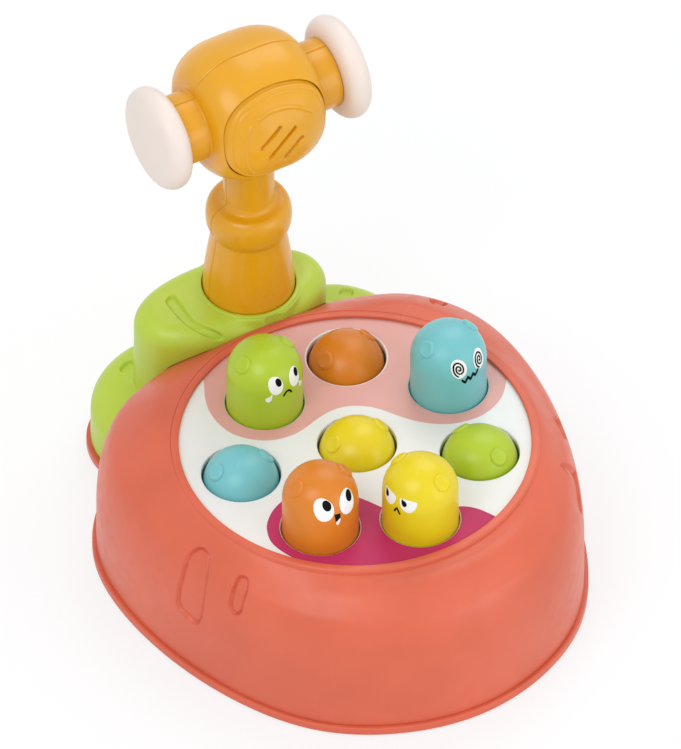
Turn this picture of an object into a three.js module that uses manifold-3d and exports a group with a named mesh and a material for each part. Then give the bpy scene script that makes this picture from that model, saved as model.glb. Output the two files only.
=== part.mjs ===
// A mole pounding game: a rounded casing with eight moles that work in see-saw pairs,
// a three-lobed leaf casing behind it and a hammer that stands in the leaf's socket.
// Millimetres, +Z up. Everything is made about the deck's axis, with the casing's blunt tip
// towards -Y and the leaf towards +Y, and then moved along Y so that the origin lies on the
// table under the middle of the whole game.
import * as THREE from "three";
import { mergeVertices } from "three/addons/utils/BufferGeometryUtils.js";
import Module from "manifold-3d";

const wasm = await Module();
wasm.setup();

// Clearances
const seatGap = 0.3; // between two pieces that touch when assembled
const runGap = 0.6; // between a moving piece and what guides it
const overrun = 2; // how far a cutting tool reaches past what it cuts

// Casing
const deckMargin = 32.2; // from the deck's edge to the casing's mean outline
const bodyOutlineShares = [-0.0271, 0.0161, 0.0487, -0.0239, -0.0009, -0.0028, 0.0054];
const wall = 2.5;
const footHeight = 1;
const plateThickness = 2.6;
const flangeReach = 2;
const shoulderStart = 31;
const shoulderRise = 3; // top of the shoulder above the deck
const shoulderDepth = 30;
const bezelWidth = 4.6;
const bezelRise = 2;
const lipWidth = 2.6;
const grooveDepth = 1;

// Deck and moles
const deckRadius = 84;
const deckThickness = 3;
const moleRadius = 18.3;
const holeGap = 0.75;
const moleTravel = 26;
const moleRise = 37.5; // top of a raised mole above the deck
const domeHeight = 17.5;
const domePower = 0.9; // under 1 the dome is fuller than an ellipse
const moleWall = 2;
const moleFlange = 1.4;
const moleFlangeThickness = 2;
const stemRadius = 3.6;
const stemReachShare = 0.97; // how far up the hollow dome the stem reaches
const earRadius = 4.4;
const earThickness = 3.2;
const earLean = 0.82; // radians from straight up to the ear's middle, seen from the dome's centre

// Guide frame under the deck
const frameThickness = 2.3;
const collarWall = 2;
const collarDrop = 21;
const frameSkirt = 14;
const earTabReach = 10;
const earTabWidth = 11;

// Rockers
const leverWidth = 6;
const leverThickness = 3.2;
const noseRadius = 3.2;
const hubRadius = 3.4;
const pinRadius = 1.5;
const pinHeadRadius = 2.6;
const pinHeadThickness = 1.2;
const floorGap = 0.8;
const levelPitch = 10.2;
const moleRoom = 7.7; // from the highest rocker's pivot up to the flange of a lowered mole
const postThickness = 2.8;
const postWidth = 6;
const postCrown = 3.4;
const nearPost = 3.7;

// Leaf and socket
const leafTurn = -3; // degrees about Z from +Y
const socketSetback = 1.57; // from the casing's back to the socket's axis
const leafRise = 7.3; // top of the leaf above the deck
const socketDepth = 44;
const socketWall = 2.2;
const socketLip = 0.8;
const lobeShoulder = 10;
const midLobeHalfWidth = 49;
const midLobeHalfLength = 25.5;
const midLobeShift = -10;
const midLobeBulge = 2.2; // power of the superellipse in plan, 2 being an ellipse
const sideLobeOffset = 49;
const sideLobeRadius = 33;
const sideLobeBulge = 2;
const sideLobeFall = 0.25; // slope of a side lobe's top, down and away from the socket
const leafBossSetback = 11; // from the socket's axis back to the screws under the side lobes
const sideLobeTop = 42;

// Hammer
const gripRadius = 22.1;
const waistRadius = 18.3;
const waistHeight = 33.6; // above the leaf's top, as are the next heights
const bulgeRadius = 20.7;
const bulgeHeight = 47.1;
const bulgeHalf = 9.5;
const bulgeCrownShare = 0.82;
const gripTaperShare = 0.955;
const neckRadius = 12.3;
const headHeight = 120.8;
const headRadius = 34.9;
const headHalfLength = 30;
const headFlat = 6; // half the length of the barrel's widest part
const headCrown = 16.3; // from the barrel's widest part in to the end of its rounding
const headNeckLedge = 1.1; // from the end of the rounding in to the neck
const headScrewOffset = 16;
const strikerStandoff = 19; // from the end of the barrel to the middle of a striker
const strikerRadius = 26;
const strikerThickness = 13;
const strikerFaceShare = 0.55; // where the face starts to bulge, as a share of its radius
const strikerBulge = 1.4;
const strikerPegRadius = 8;
const strikerPegStop = 0.5; // from the end of the barrel out to the bottom of a peg's hole
const hammerWall = 2.4;
const badgeMargin = 10.5; // from the top and bottom of the head to the badge
const badgeEndMargin = 2.6; // from the ends of the barrel to the badge
const badgeBulge = 2.5; // power of the superellipse, 2 being an ellipse
const badgeRise = 0.6;
const badgeDepth = 17;
const badgeLift = 4; // of the front badge's middle above the barrel's axis, the back's below

// Screws and feet
const screwRadius = 1.5;
const screwHeadRadius = 2.9;
const screwHeadThickness = 1.6;
const baseScrewLength = 14;
const frameScrewLength = 10;
const hammerScrewLength = 16;
const bossRadius = 4.2;
const bossInset = 7.5;
const baseBossHeight = 26;
const rubberRadius = 8;
const rubberThickness = 1.7;
const rubberInset = 20;

// Facets
const roundSteps = 16;
const smallSteps = 8;
const noseSteps = 10;
const badgeSteps = 40;
const outlineSteps = 40;
const lobeSteps = 20;
const mergeReach = 1e-4;

// Each pair's raised and lowered mole, as shares of the deck's radius across and along it
const holeShares = {
  green: { up: [-0.28, 0.545], down: [0.58, -0.411] },
  blue: { up: [0.69, 0.144], down: [-0.681, 0.106] },
  orange: { up: [-0.502, -0.489], down: [0.298, 0.626] },
  yellow: { up: [0.025, -0.709], down: [0.008, -0.01] },
};

// Where each mole's face looks, in degrees about Z from +X
const faceHeadings = {
  green: { up: -86.5, down: -169.5 },
  blue: { up: -87.5, down: -100.5 },
  orange: { up: -94.5, down: -82.5 },
  yellow: { up: -157.5, down: -89.5 },
};

// How many steps up each rocker lies, so that the crossing rockers pass over each other
const rockerSteps = { orange: 0, blue: 1, green: 2, yellow: 2 };

// How far across its rocker a pin's far post stands, where another rocker or a mole is in the way
const beyondStemPost = 21;
const beyondRockerPost = 20;
const farPosts = { green: -beyondStemPost, blue: beyondRockerPost };

// The casing's shoulder from the top of its wall to the deck's bezel: how far in and how far up,
// as shares of the shoulder's depth and height
const shoulderShares = [
  [0, 0],
  [0.04, 0.31],
  [0.115, 0.52],
  [0.28, 0.706],
  [0.6, 0.868],
  [1, 1],
];

// The leaf's two side lobes: the offset and the top's height, as shares of sideLobeOffset and
// sideLobeTop
const sideLobeShares = [
  [-0.965, 1],
  [1.04, 0.92],
];

// Rings of a rounded edge, as shares of the quarter turn that the edge makes
const cornerShares = [0, 0.35, 0.68, 1];
const crownShares = [0, 0.22, 0.42, 0.6, 0.76, 0.89, 1];
const domeShares = [0, 0.28, 0.52, 0.76];
const innerDomeShares = [0.6, 0];
const strikerRimShares = [-0.9, -0.4, 0.1, 0.55];

// Screws and feet, as shares of the way round the casing from its tip
const baseBossShares = [0.1, 0.27, 0.39, 0.61, 0.73, 0.9];
const frameBossShares = [0.16, 0.35, 0.65, 0.84];
const rubberShares = [0.14, 0.34, 0.66, 0.86];

// The shallow wrinkles pressed into the casing's wall: the share of the way round from the tip,
// the lowest and highest point as shares of the deck's height, and the half width as a share
// of the casing's radius
const grooveShares = [
  [0.875, 0.153, 0.502, 0.04],
  [0.915, 0.208, 0.404, 0.026],
  [0.255, 0.318, 0.551, 0.036],
  [0.305, 0.404, 0.527, 0.026],
];

// Sizes that follow from the ones above
const headNeckRadius = headRadius - headCrown - headNeckLedge;
const strikerReach = headHalfLength + strikerStandoff;
const strikerBack = strikerReach - strikerThickness / 2;
const pegHoleEnd = headHalfLength + strikerPegStop;
const bodyRadius = deckRadius + deckMargin;
const backShare = bodyOutlineShares.reduce((sum, share, k) => sum - share * (-1) ** k, 1);
const socketReach = bodyRadius * backShare + socketSetback;
const plateTop = footHeight + plateThickness;
const shellBottom = plateTop + seatGap;
const lowLevel = plateTop + floorGap + noseRadius + moleTravel / 2;
const highLevel = lowLevel + Math.max(...Object.values(rockerSteps)) * levelPitch;
const frameTop = highLevel + moleRoom + moleTravel + moleFlangeThickness;
const deckUnderside = frameTop + seatGap;
const deckHeight = deckUnderside + deckThickness;
const shoulderHeight = deckHeight + shoulderRise - shoulderStart;
const leafTop = deckHeight + leafRise;
const holeRadius = moleRadius + holeGap;
const collarRadius = moleRadius + moleFlange + runGap;
const socketRadius = gripRadius + holeGap / 2;
const socketOuter = socketRadius + socketWall;
const frameEarTop = frameTop - frameSkirt;
const frameRadius = deckRadius + lipWidth - seatGap;
const farAway = 2 * bodyRadius; // past the whole part, for blocks that cut a half or a slice

// Colours
const coral = { color: 0xd96e5c, roughness: 0.42, metalness: 0 };
const leafGreen = { color: 0xb0cf45, roughness: 0.4, metalness: 0 };
const deckWhite = { color: 0xf0efea, roughness: 0.4, metalness: 0 };
const hammerOrange = { color: 0xe6a52d, roughness: 0.38, metalness: 0 };
const strikerWhite = { color: 0xece0d6, roughness: 0.5, metalness: 0 };
const innerWhite = { color: 0xdedcd6, roughness: 0.55, metalness: 0 };
const steel = { color: 0xb9bcc0, roughness: 0.35, metalness: 1 };
const rubber = { color: 0x4a4a4c, roughness: 0.8, metalness: 0 };
const moleColours = {
  green: { color: 0xabc83c, roughness: 0.4, metalness: 0 },
  blue: { color: 0x76c2c6, roughness: 0.4, metalness: 0 },
  orange: { color: 0xdf8232, roughness: 0.4, metalness: 0 },
  yellow: { color: 0xe8d42c, roughness: 0.4, metalness: 0 },
};

const { degToRad, radToDeg } = THREE.MathUtils;
const quarterTurn = Math.PI / 2;
const cornerTurns = cornerShares.map((share) => share * quarterTurn);
const crownTurns = crownShares.map((share) => share * quarterTurn);

// A closed geometry as a solid
function solidOf(geometry) {
  const bare = geometry.clone();
  for (const name of Object.keys(bare.attributes)) {
    if (name !== "position") bare.deleteAttribute(name);
  }
  const merged = mergeVertices(bare, mergeReach);
  return new wasm.Manifold(
    new wasm.Mesh({
      numProp: 3,
      vertProperties: new Float32Array(merged.attributes.position.array),
      triVerts: new Uint32Array(merged.index.array),
    }),
  );
}

// A solid as a geometry that a mesh can hold
function geometryOf(solid) {
  const data = solid.getMesh();
  const geometry = new THREE.BufferGeometry();
  geometry.setAttribute("position", new THREE.BufferAttribute(data.vertProperties, data.numProp));
  geometry.setIndex(new THREE.BufferAttribute(data.triVerts, 1));
  return geometry;
}

const unite = (...solids) => solids.reduce((all, one) => all.add(one));
const cut = (solid, ...tools) => tools.reduce((left, tool) => left.subtract(tool), solid);

// An upright cylinder from one height to another
function drum(radius, from, to, x = 0, y = 0, steps = roundSteps) {
  const geometry = new THREE.CylinderGeometry(radius, radius, to - from, steps);
  geometry.rotateX(quarterTurn);
  geometry.translate(x, y, (from + to) / 2);
  return solidOf(geometry);
}

// A box given by its two opposite corners
function block(low, high) {
  const geometry = new THREE.BoxGeometry(high[0] - low[0], high[1] - low[1], high[2] - low[2]);
  geometry.translate((low[0] + high[0]) / 2, (low[1] + high[1]) / 2, (low[2] + high[2]) / 2);
  return solidOf(geometry);
}

// A solid of revolution about Z from a profile of [radius, height] points, axis to axis
function turned(profile, steps = roundSteps) {
  const points = profile.map(([r, z]) => new THREE.Vector2(r, z));
  const geometry = new THREE.LatheGeometry(points, steps);
  geometry.rotateX(quarterTurn);
  return solidOf(geometry);
}

// A solid through a stack of convex outlines, each with the same number of points
function stacked(outlines, heights) {
  const steps = outlines[0].length;
  const positions = outlines.flatMap((ring, k) =>
    ring.flatMap(([x, y, lift = 0]) => [x, y, heights[k] + lift]),
  );
  const last = outlines.length - 1;
  const middle = (ring) => ring.reduce((sum, [x, y]) => [sum[0] + x, sum[1] + y], [0, 0]);
  for (const k of [0, last]) {
    const [x, y] = middle(outlines[k]);
    positions.push(x / steps, y / steps, heights[k]);
  }
  const foot = outlines.length * steps;
  const faces = [];
  for (let i = 0; i < steps; i++) {
    const next = (i + 1) % steps;
    faces.push(foot, next, i);
    faces.push(foot + 1, last * steps + i, last * steps + next);
    for (let k = 0; k < last; k++) {
      const low = k * steps;
      const high = low + steps;
      faces.push(low + i, low + next, high + next);
      faces.push(low + i, high + next, high + i);
    }
  }
  const geometry = new THREE.BufferGeometry();
  geometry.setAttribute("position", new THREE.Float32BufferAttribute(positions, 3));
  geometry.setIndex(faces);
  return solidOf(geometry);
}

// The casing's outline seen from above, moved inwards by an inset. It is mirrored about the Y
// axis and given by its distance from the middle along each normal, counted from the tip.
function bodyOutline(inset) {
  const ring = [];
  for (let i = 0; i < outlineSteps; i++) {
    const angle = (2 * Math.PI * i) / outlineSteps;
    let reach = bodyRadius - inset;
    let slope = 0;
    bodyOutlineShares.forEach((share, k) => {
      reach += bodyRadius * share * Math.cos((k + 1) * angle);
      slope -= bodyRadius * share * (k + 1) * Math.sin((k + 1) * angle);
    });
    ring.push([
      reach * Math.sin(angle) + slope * Math.cos(angle),
      -reach * Math.cos(angle) + slope * Math.sin(angle),
    ]);
  }
  return ring;
}

// The casing's outer form, or that form moved inwards by an inset
function bodyForm(bottom, inset) {
  const depth = shoulderDepth - inset;
  const height = shoulderHeight - inset;
  const insets = [inset, ...shoulderShares.map(([inwards]) => inset + depth * inwards)];
  const heights = [bottom, ...shoulderShares.map(([, up]) => shoulderStart + height * up)];
  return stacked(insets.map(bodyOutline), heights);
}

// A point of the leaf, given across and along its own axis, in the part's frame
function leafPoint(across, along) {
  const turn = degToRad(leafTurn);
  return [
    across * Math.cos(turn) - along * Math.sin(turn),
    across * Math.sin(turn) + along * Math.cos(turn),
  ];
}

const socketAt = leafPoint(0, socketReach);

// One lobe of the leaf: a superellipse in plan with a rounded shoulder. Its top falls with a
// slope away from the socket.
function lobe(across, along, halfWidth, halfLength, power, bottom, top, inset, fall = 0) {
  const shoulder = Math.min(lobeShoulder, halfLength - wall) - inset;
  const bend = (value) => Math.sign(value) * Math.abs(value) ** (2 / power);
  const ring = (reduce, k) => {
    const points = [];
    for (let i = 0; i < lobeSteps; i++) {
      const angle = (2 * Math.PI * i) / lobeSteps;
      const x = (halfWidth - reduce) * bend(Math.cos(angle));
      const y = (halfLength - reduce) * bend(Math.sin(angle));
      const lift = k > 0 ? -fall * Math.sign(across) * x : 0;
      points.push([...leafPoint(across + x, along + y), lift]);
    }
    return points;
  };
  const insets = [inset, ...cornerTurns.map((a) => inset + shoulder * (1 - Math.cos(a)))];
  const rise = top - inset - shoulder;
  const heights = [bottom, ...cornerTurns.map((a) => rise + shoulder * Math.sin(a))];
  return stacked(insets.map(ring), heights);
}

// All three lobes of the leaf, moved inwards by an inset
function leafForm(bottom, inset) {
  const sides = sideLobeShares.map(([offsetShare, topShare]) =>
    lobe(
      offsetShare * sideLobeOffset,
      socketReach,
      sideLobeRadius,
      sideLobeRadius,
      sideLobeBulge,
      bottom,
      topShare * sideLobeTop,
      inset,
      sideLobeFall,
    ),
  );
  const middle = lobe(
    midLobeShift,
    socketReach,
    midLobeHalfWidth,
    midLobeHalfLength,
    midLobeBulge,
    bottom,
    leafTop,
    inset,
  );
  return unite(middle, ...sides);
}

// Places along the casing's wall, at an inset from it, for bosses and feet
function alongWall(share, inset) {
  const index = Math.round(share * outlineSteps) % outlineSteps;
  return bodyOutline(inset)[index];
}

const baseBosses = baseBossShares.map((share) => alongWall(share, bossInset));
const frameBosses = frameBossShares.map((share) => {
  const [x, y] = alongWall(share, 0);
  const reach = deckRadius + earTabReach;
  const length = Math.hypot(x, y);
  return [(x / length) * reach, (y / length) * reach];
});
const rubberFeet = rubberShares.map((share) => alongWall(share, rubberInset));
rubberFeet.push(leafPoint(0, socketReach + midLobeHalfLength / 2));
const leafBosses = [-1, 1].map((sign) =>
  leafPoint(sign * sideLobeOffset, socketReach + leafBossSetback),
);

// The pairs of moles with what their rockers need
const pairs = Object.entries(holeShares).map(([colour, pair]) => {
  const up = pair.up.map((share) => share * deckRadius);
  const down = pair.down.map((share) => share * deckRadius);
  const pivot = [(up[0] + down[0]) / 2, (up[1] + down[1]) / 2];
  const arm = Math.hypot(up[0] - down[0], up[1] - down[1]) / 2;
  return {
    colour,
    up,
    down,
    pivot,
    arm,
    level: lowLevel + rockerSteps[colour] * levelPitch,
    heading: Math.atan2(up[1] - down[1], up[0] - down[0]),
    tilt: Math.asin(moleTravel / 2 / arm),
    faceUp: degToRad(faceHeadings[colour].up),
    faceDown: degToRad(faceHeadings[colour].down),
  };
});

// The two places of a rocker's posts across it, near one first
function postOffsets(pair) {
  const near = nearPost + postThickness / 2;
  const far = farPosts[pair.colour] ?? -near;
  return far > 0 ? [-near, far] : [near, far];
}

// A cylinder along Y
function rod(radius, from, to, x, z) {
  const geometry = new THREE.CylinderGeometry(radius, radius, to - from, smallSteps);
  geometry.translate(x, (from + to) / 2, z);
  return solidOf(geometry);
}

// A solid made about a rocker's pivot, with X along the rocker, moved to its place
function atPivot(solid, pair) {
  return solid.rotate([0, 0, radToDeg(pair.heading)]).translate([...pair.pivot, 0]);
}

// The bore for a rocker's pin, reaching as far to both sides of the rocker's middle
const pinBore = (reach) => rod(pinRadius + seatGap, -reach, reach, 0, 0);

// Upright holes through given places: for a screw's shank, or for its head
function screwBores(places, radius, from, to) {
  return places.map(([x, y]) => drum(radius + seatGap, from, to, x, y, smallSteps));
}

// The upright band between the casing's outline at one inset and at a larger one
function outlineBand(outer, inner, from, to) {
  return cut(
    stacked([bodyOutline(outer), bodyOutline(outer)], [from, to]),
    stacked([bodyOutline(inner), bodyOutline(inner)], [from - overrun, to + overrun]),
  );
}

// The tray's plate under the casing and the leaf, with the rib that stands inside the wall
function makeTrayPlate() {
  const rim = stacked([bodyOutline(-flangeReach), bodyOutline(-flangeReach)], [footHeight, plateTop]);
  const slab = block([-farAway, -farAway, footHeight], [farAway, farAway, plateTop]);
  const leafRim = leafForm(footHeight, -flangeReach).intersect(slab);
  const ribInset = wall + seatGap;
  const rib = outlineBand(ribInset, ribInset + wall, footHeight, plateTop + plateThickness);
  const ribGaps = baseBosses.map(([x, y]) => drum(bossInset + wall, plateTop, deckHeight, x, y));
  const bite = drum(socketOuter + runGap, plateTop, deckHeight, ...socketAt);
  return unite(rim, leafRim, cut(rib, ...ribGaps, bite));
}

function makeBaseTray() {
  let tray = makeTrayPlate();
  for (const pair of pairs) {
    for (const offset of postOffsets(pair)) {
      const post = block(
        [-postWidth / 2, offset - postThickness / 2, footHeight],
        [postWidth / 2, offset + postThickness / 2, pair.level + postCrown],
      );
      tray = unite(tray, atPivot(post, pair));
    }
    const reach = Math.max(...postOffsets(pair).map(Math.abs)) + postThickness;
    tray = cut(tray, atPivot(pinBore(reach).translate([0, 0, pair.level]), pair));
  }
  const bosses = [...baseBosses, ...leafBosses];
  const pockets = rubberFeet.map(([x, y]) =>
    drum(rubberRadius + seatGap, 0, rubberThickness + seatGap, x, y),
  );
  return cut(
    tray,
    ...screwBores(bosses, screwRadius, 0, plateTop + overrun),
    ...screwBores(bosses, screwHeadRadius, 0, footHeight + screwHeadThickness),
    ...pockets,
  );
}

const wideDrum = (radius, from, to) => drum(radius, from, to, 0, 0, outlineSteps);

// What the casing carries inside: posts for the tray's screws and hangers for the guide frame
function makeBodyBosses(top) {
  const posts = baseBosses.map(([x, y]) =>
    drum(bossRadius, shellBottom, baseBossHeight, x, y, smallSteps),
  );
  const ties = baseBosses.map(([x, y]) => {
    const tie = block([0, -wall / 2, shellBottom], [bossInset + wall, wall / 2, baseBossHeight]);
    return tie.rotate([0, 0, radToDeg(Math.atan2(y, x))]).translate([x, y, 0]);
  });
  const hangers = frameBosses.map(([x, y]) =>
    drum(bossRadius, frameEarTop + seatGap, top, x, y, smallSteps),
  );
  return unite(...posts, ...ties, ...hangers).intersect(bodyForm(shellBottom, wall / 2));
}

function makeBodyShell() {
  const bezelRadius = deckRadius + bezelWidth;
  const bezelTop = deckHeight + bezelRise;
  const top = shoulderStart + shoulderHeight + overrun;
  const outer = cut(
    unite(bodyForm(shellBottom, 0), wideDrum(bezelRadius, shoulderStart, bezelTop)),
    wideDrum(bezelRadius, bezelTop, top),
  );
  const seat = wideDrum(deckRadius + lipWidth, 0, deckHeight + seatGap);
  const hollow = unite(
    bodyForm(shellBottom - overrun, wall),
    wideDrum(deckRadius, 0, top),
    seat,
  );
  return cut(
    unite(cut(outer, hollow), cut(makeBodyBosses(top), seat)),
    drum(socketOuter + seatGap, 0, top, ...socketAt, lobeSteps),
    ...screwBores(baseBosses, screwRadius, 0, footHeight + baseScrewLength + overrun),
    ...screwBores(frameBosses, screwRadius, frameEarTop - overrun, frameEarTop + frameScrewLength),
    ...makeGrooves(),
  );
}

function makeGrooves() {
  return grooveShares.map(([around, lowShare, highShare, widthShare]) => {
    const index = Math.floor(around * outlineSteps);
    const ring = bodyOutline(0);
    const start = ring[index];
    const end = ring[(index + 1) % outlineSteps];
    const half = widthShare * bodyRadius;
    const low = lowShare * deckHeight + half;
    const high = highShare * deckHeight - half;
    const slot = new THREE.Shape();
    slot.absarc(0, low, half, Math.PI, 2 * Math.PI);
    slot.absarc(0, high, half, 0, Math.PI);
    const geometry = new THREE.ExtrudeGeometry(slot, {
      depth: 2 * grooveDepth,
      bevelEnabled: false,
      curveSegments: smallSteps / 2,
    });
    geometry.translate(0, 0, -grooveDepth);
    geometry.rotateX(quarterTurn);
    geometry.rotateZ(Math.atan2(end[1] - start[1], end[0] - start[0]));
    geometry.translate((start[0] + end[0]) / 2, (start[1] + end[1]) / 2, shellBottom);
    return solidOf(geometry);
  });
}

const holeCentres = pairs.flatMap(({ up, down }) => [up, down]);

function makeDeckPanel() {
  const holes = holeCentres.map(([x, y]) =>
    drum(holeRadius, deckUnderside - overrun, deckHeight + overrun, x, y),
  );
  return cut(wideDrum(frameRadius, deckUnderside, deckHeight), ...holes);
}

// The frame under the deck: a skirted plate with a collar for each mole, hung from four tabs
function makeGuideFrame() {
  const tabBottom = frameEarTop - frameThickness;
  const collarBottom = frameTop - collarDrop - frameThickness;
  const plate = cut(
    wideDrum(frameRadius, tabBottom, frameTop),
    wideDrum(frameRadius - collarWall, 0, frameTop - frameThickness),
  );
  const tabs = frameBosses.map(([x, y]) => {
    const arm = block(
      [frameRadius - collarWall, -earTabWidth / 2, tabBottom],
      [deckRadius + earTabReach, earTabWidth / 2, frameEarTop],
    ).rotate([0, 0, radToDeg(Math.atan2(y, x))]);
    return unite(arm, drum(earTabWidth / 2, tabBottom, frameEarTop, x, y));
  });
  const collars = holeCentres.map(([x, y]) =>
    drum(collarRadius + collarWall, collarBottom, frameTop, x, y),
  );
  const bores = holeCentres.map(([x, y]) =>
    drum(collarRadius, collarBottom - overrun, frameTop + overrun, x, y),
  );
  return cut(
    unite(plate, ...tabs, ...collars),
    ...bores,
    ...screwBores(frameBosses, screwRadius, tabBottom - overrun, frameEarTop + overrun),
  );
}

// One mole about its own axis, raised, with its stem reaching down to its rocker's nose
function makeMole(pair, face) {
  const apex = deckHeight + moleRise;
  const springline = apex - domeHeight;
  const flangeBottom = frameTop - moleFlangeThickness;
  const foot = pair.level + moleTravel / 2 + noseRadius + seatGap;
  const inside = moleRadius - moleWall;
  const insideHeight = domeHeight - moleWall;
  const dome = (radius, height, shares) =>
    shares.map((share) => {
      const angle = share * quarterTurn;
      return [radius * Math.cos(angle) ** domePower, springline + height * Math.sin(angle)];
    });
  const body = turned([
    [0, foot],
    [stemRadius, foot],
    [stemRadius, springline + insideHeight * stemReachShare],
    ...dome(inside, insideHeight, innerDomeShares),
    [inside, flangeBottom],
    [moleRadius + moleFlange, flangeBottom],
    [moleRadius + moleFlange, frameTop],
    [moleRadius, frameTop],
    ...dome(moleRadius, domeHeight, domeShares),
    [0, apex],
  ]);
  const ears = [-1, 1].map((side) => {
    const disc = new THREE.CylinderGeometry(earRadius, earRadius, earThickness, smallSteps);
    disc.rotateX(quarterTurn);
    disc.translate(0, 0, domeHeight);
    disc.rotateY(side * earLean);
    disc.rotateZ(face + quarterTurn);
    disc.translate(0, 0, springline);
    return solidOf(disc);
  });
  return unite(body, ...ears);
}

// A rocker about its pivot, level, with X along it: a bar, a hub and a round nose at each end
function makeRocker(pair) {
  const bar = block(
    [-pair.arm, -leverWidth / 2, -leverThickness / 2],
    [pair.arm, leverWidth / 2, leverThickness / 2],
  );
  const across = (radius, x) => {
    const geometry = new THREE.CylinderGeometry(radius, radius, leverWidth, noseSteps);
    geometry.translate(x, 0, 0);
    return solidOf(geometry);
  };
  return cut(
    unite(bar, across(hubRadius, 0), across(noseRadius, pair.arm), across(noseRadius, -pair.arm)),
    pinBore(leverWidth),
  );
}

// A rocker's steel pin, with its head against the outer side of the far post
function makePin(pair) {
  const [near, far] = postOffsets(pair);
  const side = Math.sign(far);
  const tip = near - (side * postThickness) / 2;
  const headAt = far + side * (postThickness / 2 + seatGap);
  const end = headAt + side * pinHeadThickness;
  return unite(
    rod(pinRadius, Math.min(headAt, tip), Math.max(headAt, tip), 0, 0),
    rod(pinHeadRadius, Math.min(headAt, end), Math.max(headAt, end), 0, 0),
  );
}

// A screw standing on its head, its shank up +Z
function makeScrew(length) {
  return turned(
    [
      [0, 0],
      [screwHeadRadius, 0],
      [screwHeadRadius, screwHeadThickness],
      [screwRadius, screwHeadThickness],
      [screwRadius, length - screwRadius],
      [0, length],
    ],
    smallSteps,
  );
}

// The leaf's three lobes in one shell, cut to the casing's form, with the hammer's socket
function makeLeafShell() {
  const bosses = leafBosses.map(([x, y]) =>
    drum(bossRadius, shellBottom, sideLobeTop, x, y, smallSteps),
  );
  const lobes = unite(
    cut(leafForm(shellBottom, 0), leafForm(shellBottom - overrun, wall)),
    unite(...bosses).intersect(leafForm(shellBottom, wall / 2)),
  );
  const shell = cut(
    lobes,
    bodyForm(0, -seatGap),
    wideDrum(deckRadius + bezelWidth + seatGap, 0, leafTop + overrun),
  );
  const floor = leafTop - socketDepth;
  const tube = drum(socketOuter, floor - socketWall, leafTop + socketLip, ...socketAt, lobeSteps);
  return cut(
    unite(shell, tube),
    drum(socketRadius, floor, leafTop + 2 * overrun, ...socketAt, lobeSteps),
    ...screwBores(leafBosses, screwRadius, 0, footHeight + baseScrewLength + overrun),
  );
}

// Hammer pieces are made about the socket's axis, with heights from the leaf's top. Those of
// the head are made about Z and laid along X at the head's height, their top towards one end.
function alongX(solid, end = 1) {
  return solid.rotate([0, radToDeg(end * quarterTurn), 0]).translate([0, 0, headHeight]);
}

function handleForm(inset) {
  const low = -socketDepth + seatGap;
  const top = headHeight - headRadius + headCrown;
  return turned([
    [0, low + inset],
    [gripRadius * gripTaperShare - inset, low + inset],
    [gripRadius - inset, 0],
    [waistRadius - inset, waistHeight],
    [bulgeRadius - inset, bulgeHeight - bulgeHalf / 2],
    [bulgeRadius - inset, bulgeHeight + bulgeHalf / 2],
    [bulgeRadius * bulgeCrownShare - inset, bulgeHeight + bulgeHalf - inset],
    [neckRadius - inset, bulgeHeight + bulgeHalf - inset],
    [neckRadius - inset, top - inset],
    [0, top - inset],
  ]);
}

// The head's barrel with its two necks, lying along X
function headForm(inset) {
  const crown = headCrown - inset;
  const length = headHalfLength - headFlat - inset;
  const neckEnd = strikerBack - seatGap - inset;
  const corner = crownTurns.map((a) => [
    headRadius - headCrown + crown * Math.cos(a),
    headFlat + length * Math.sin(a),
  ]);
  const neck = headNeckRadius - inset;
  const right = [...corner, [neck, headHalfLength - inset], [neck, neckEnd]];
  const left = right.map(([r, x]) => [r, -x]).reverse();
  return alongX(turned([[0, -neckEnd], ...left, ...right, [0, neckEnd]]));
}

// The rounded square badge on one side of the head, grown by a margin
function badgeForm(side, margin, from, to) {
  const across = headHalfLength - badgeEndMargin + margin;
  const up = headRadius - badgeMargin + margin;
  const bend = (v) => Math.sign(v) * Math.abs(v) ** (2 / badgeBulge);
  const outline = [];
  for (let i = 0; i < badgeSteps; i++) {
    const angle = (2 * Math.PI * i) / badgeSteps;
    outline.push(new THREE.Vector2(across * bend(Math.cos(angle)), up * bend(Math.sin(angle))));
  }
  const square = new THREE.Shape(outline);
  const geometry = new THREE.ExtrudeGeometry(square, {
    depth: to - from,
    bevelEnabled: false,
  });
  geometry.rotateX(quarterTurn);
  geometry.translate(0, side > 0 ? to : -from, headHeight - side * badgeLift);
  return solidOf(geometry);
}

// Everything on one side of the plane that splits the hammer
function halfSpace(side) {
  const gap = seatGap / 2;
  const [low, high] = side > 0 ? [gap, farAway] : [-farAway, -gap];
  return block([-farAway, low, -farAway], [farAway, high, farAway]);
}

const handleScrewHeights = [-socketDepth / 2, bulgeHeight];
const headScrewPlaces = [-1, 1].map((side) => [side * headScrewOffset, headHeight]);

// The places of the four screws that hold the hammer's halves, as [x, height]
const hammerScrews = [...handleScrewHeights.map((z) => [0, z]), ...headScrewPlaces];

// How far behind the split the top of each screw's head is
const screwSeat = hammerScrewLength / 2;

// One half of the handle or head: its wall, the bosses of its screws and the screws' holes
function hammerHalf(outer, hollow, side, places, reach) {
  const bosses = places.map(([x, z]) => rod(bossRadius, -reach, reach, x, z).intersect(outer));
  const half = unite(cut(outer, hollow), ...bosses).intersect(halfSpace(side));
  const holes = places.flatMap(([x, z]) => [
    rod(screwRadius + seatGap, -hammerScrewLength, screwSeat + overrun, x, z),
    rod(screwHeadRadius + seatGap, screwSeat - screwHeadThickness - seatGap, reach + overrun, x, z),
  ]);
  return cut(half, ...holes);
}

function makeHandleHalf(side) {
  return hammerHalf(
    handleForm(0),
    handleForm(hammerWall),
    side,
    handleScrewHeights.map((z) => [0, z]),
    gripRadius,
  );
}

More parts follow.
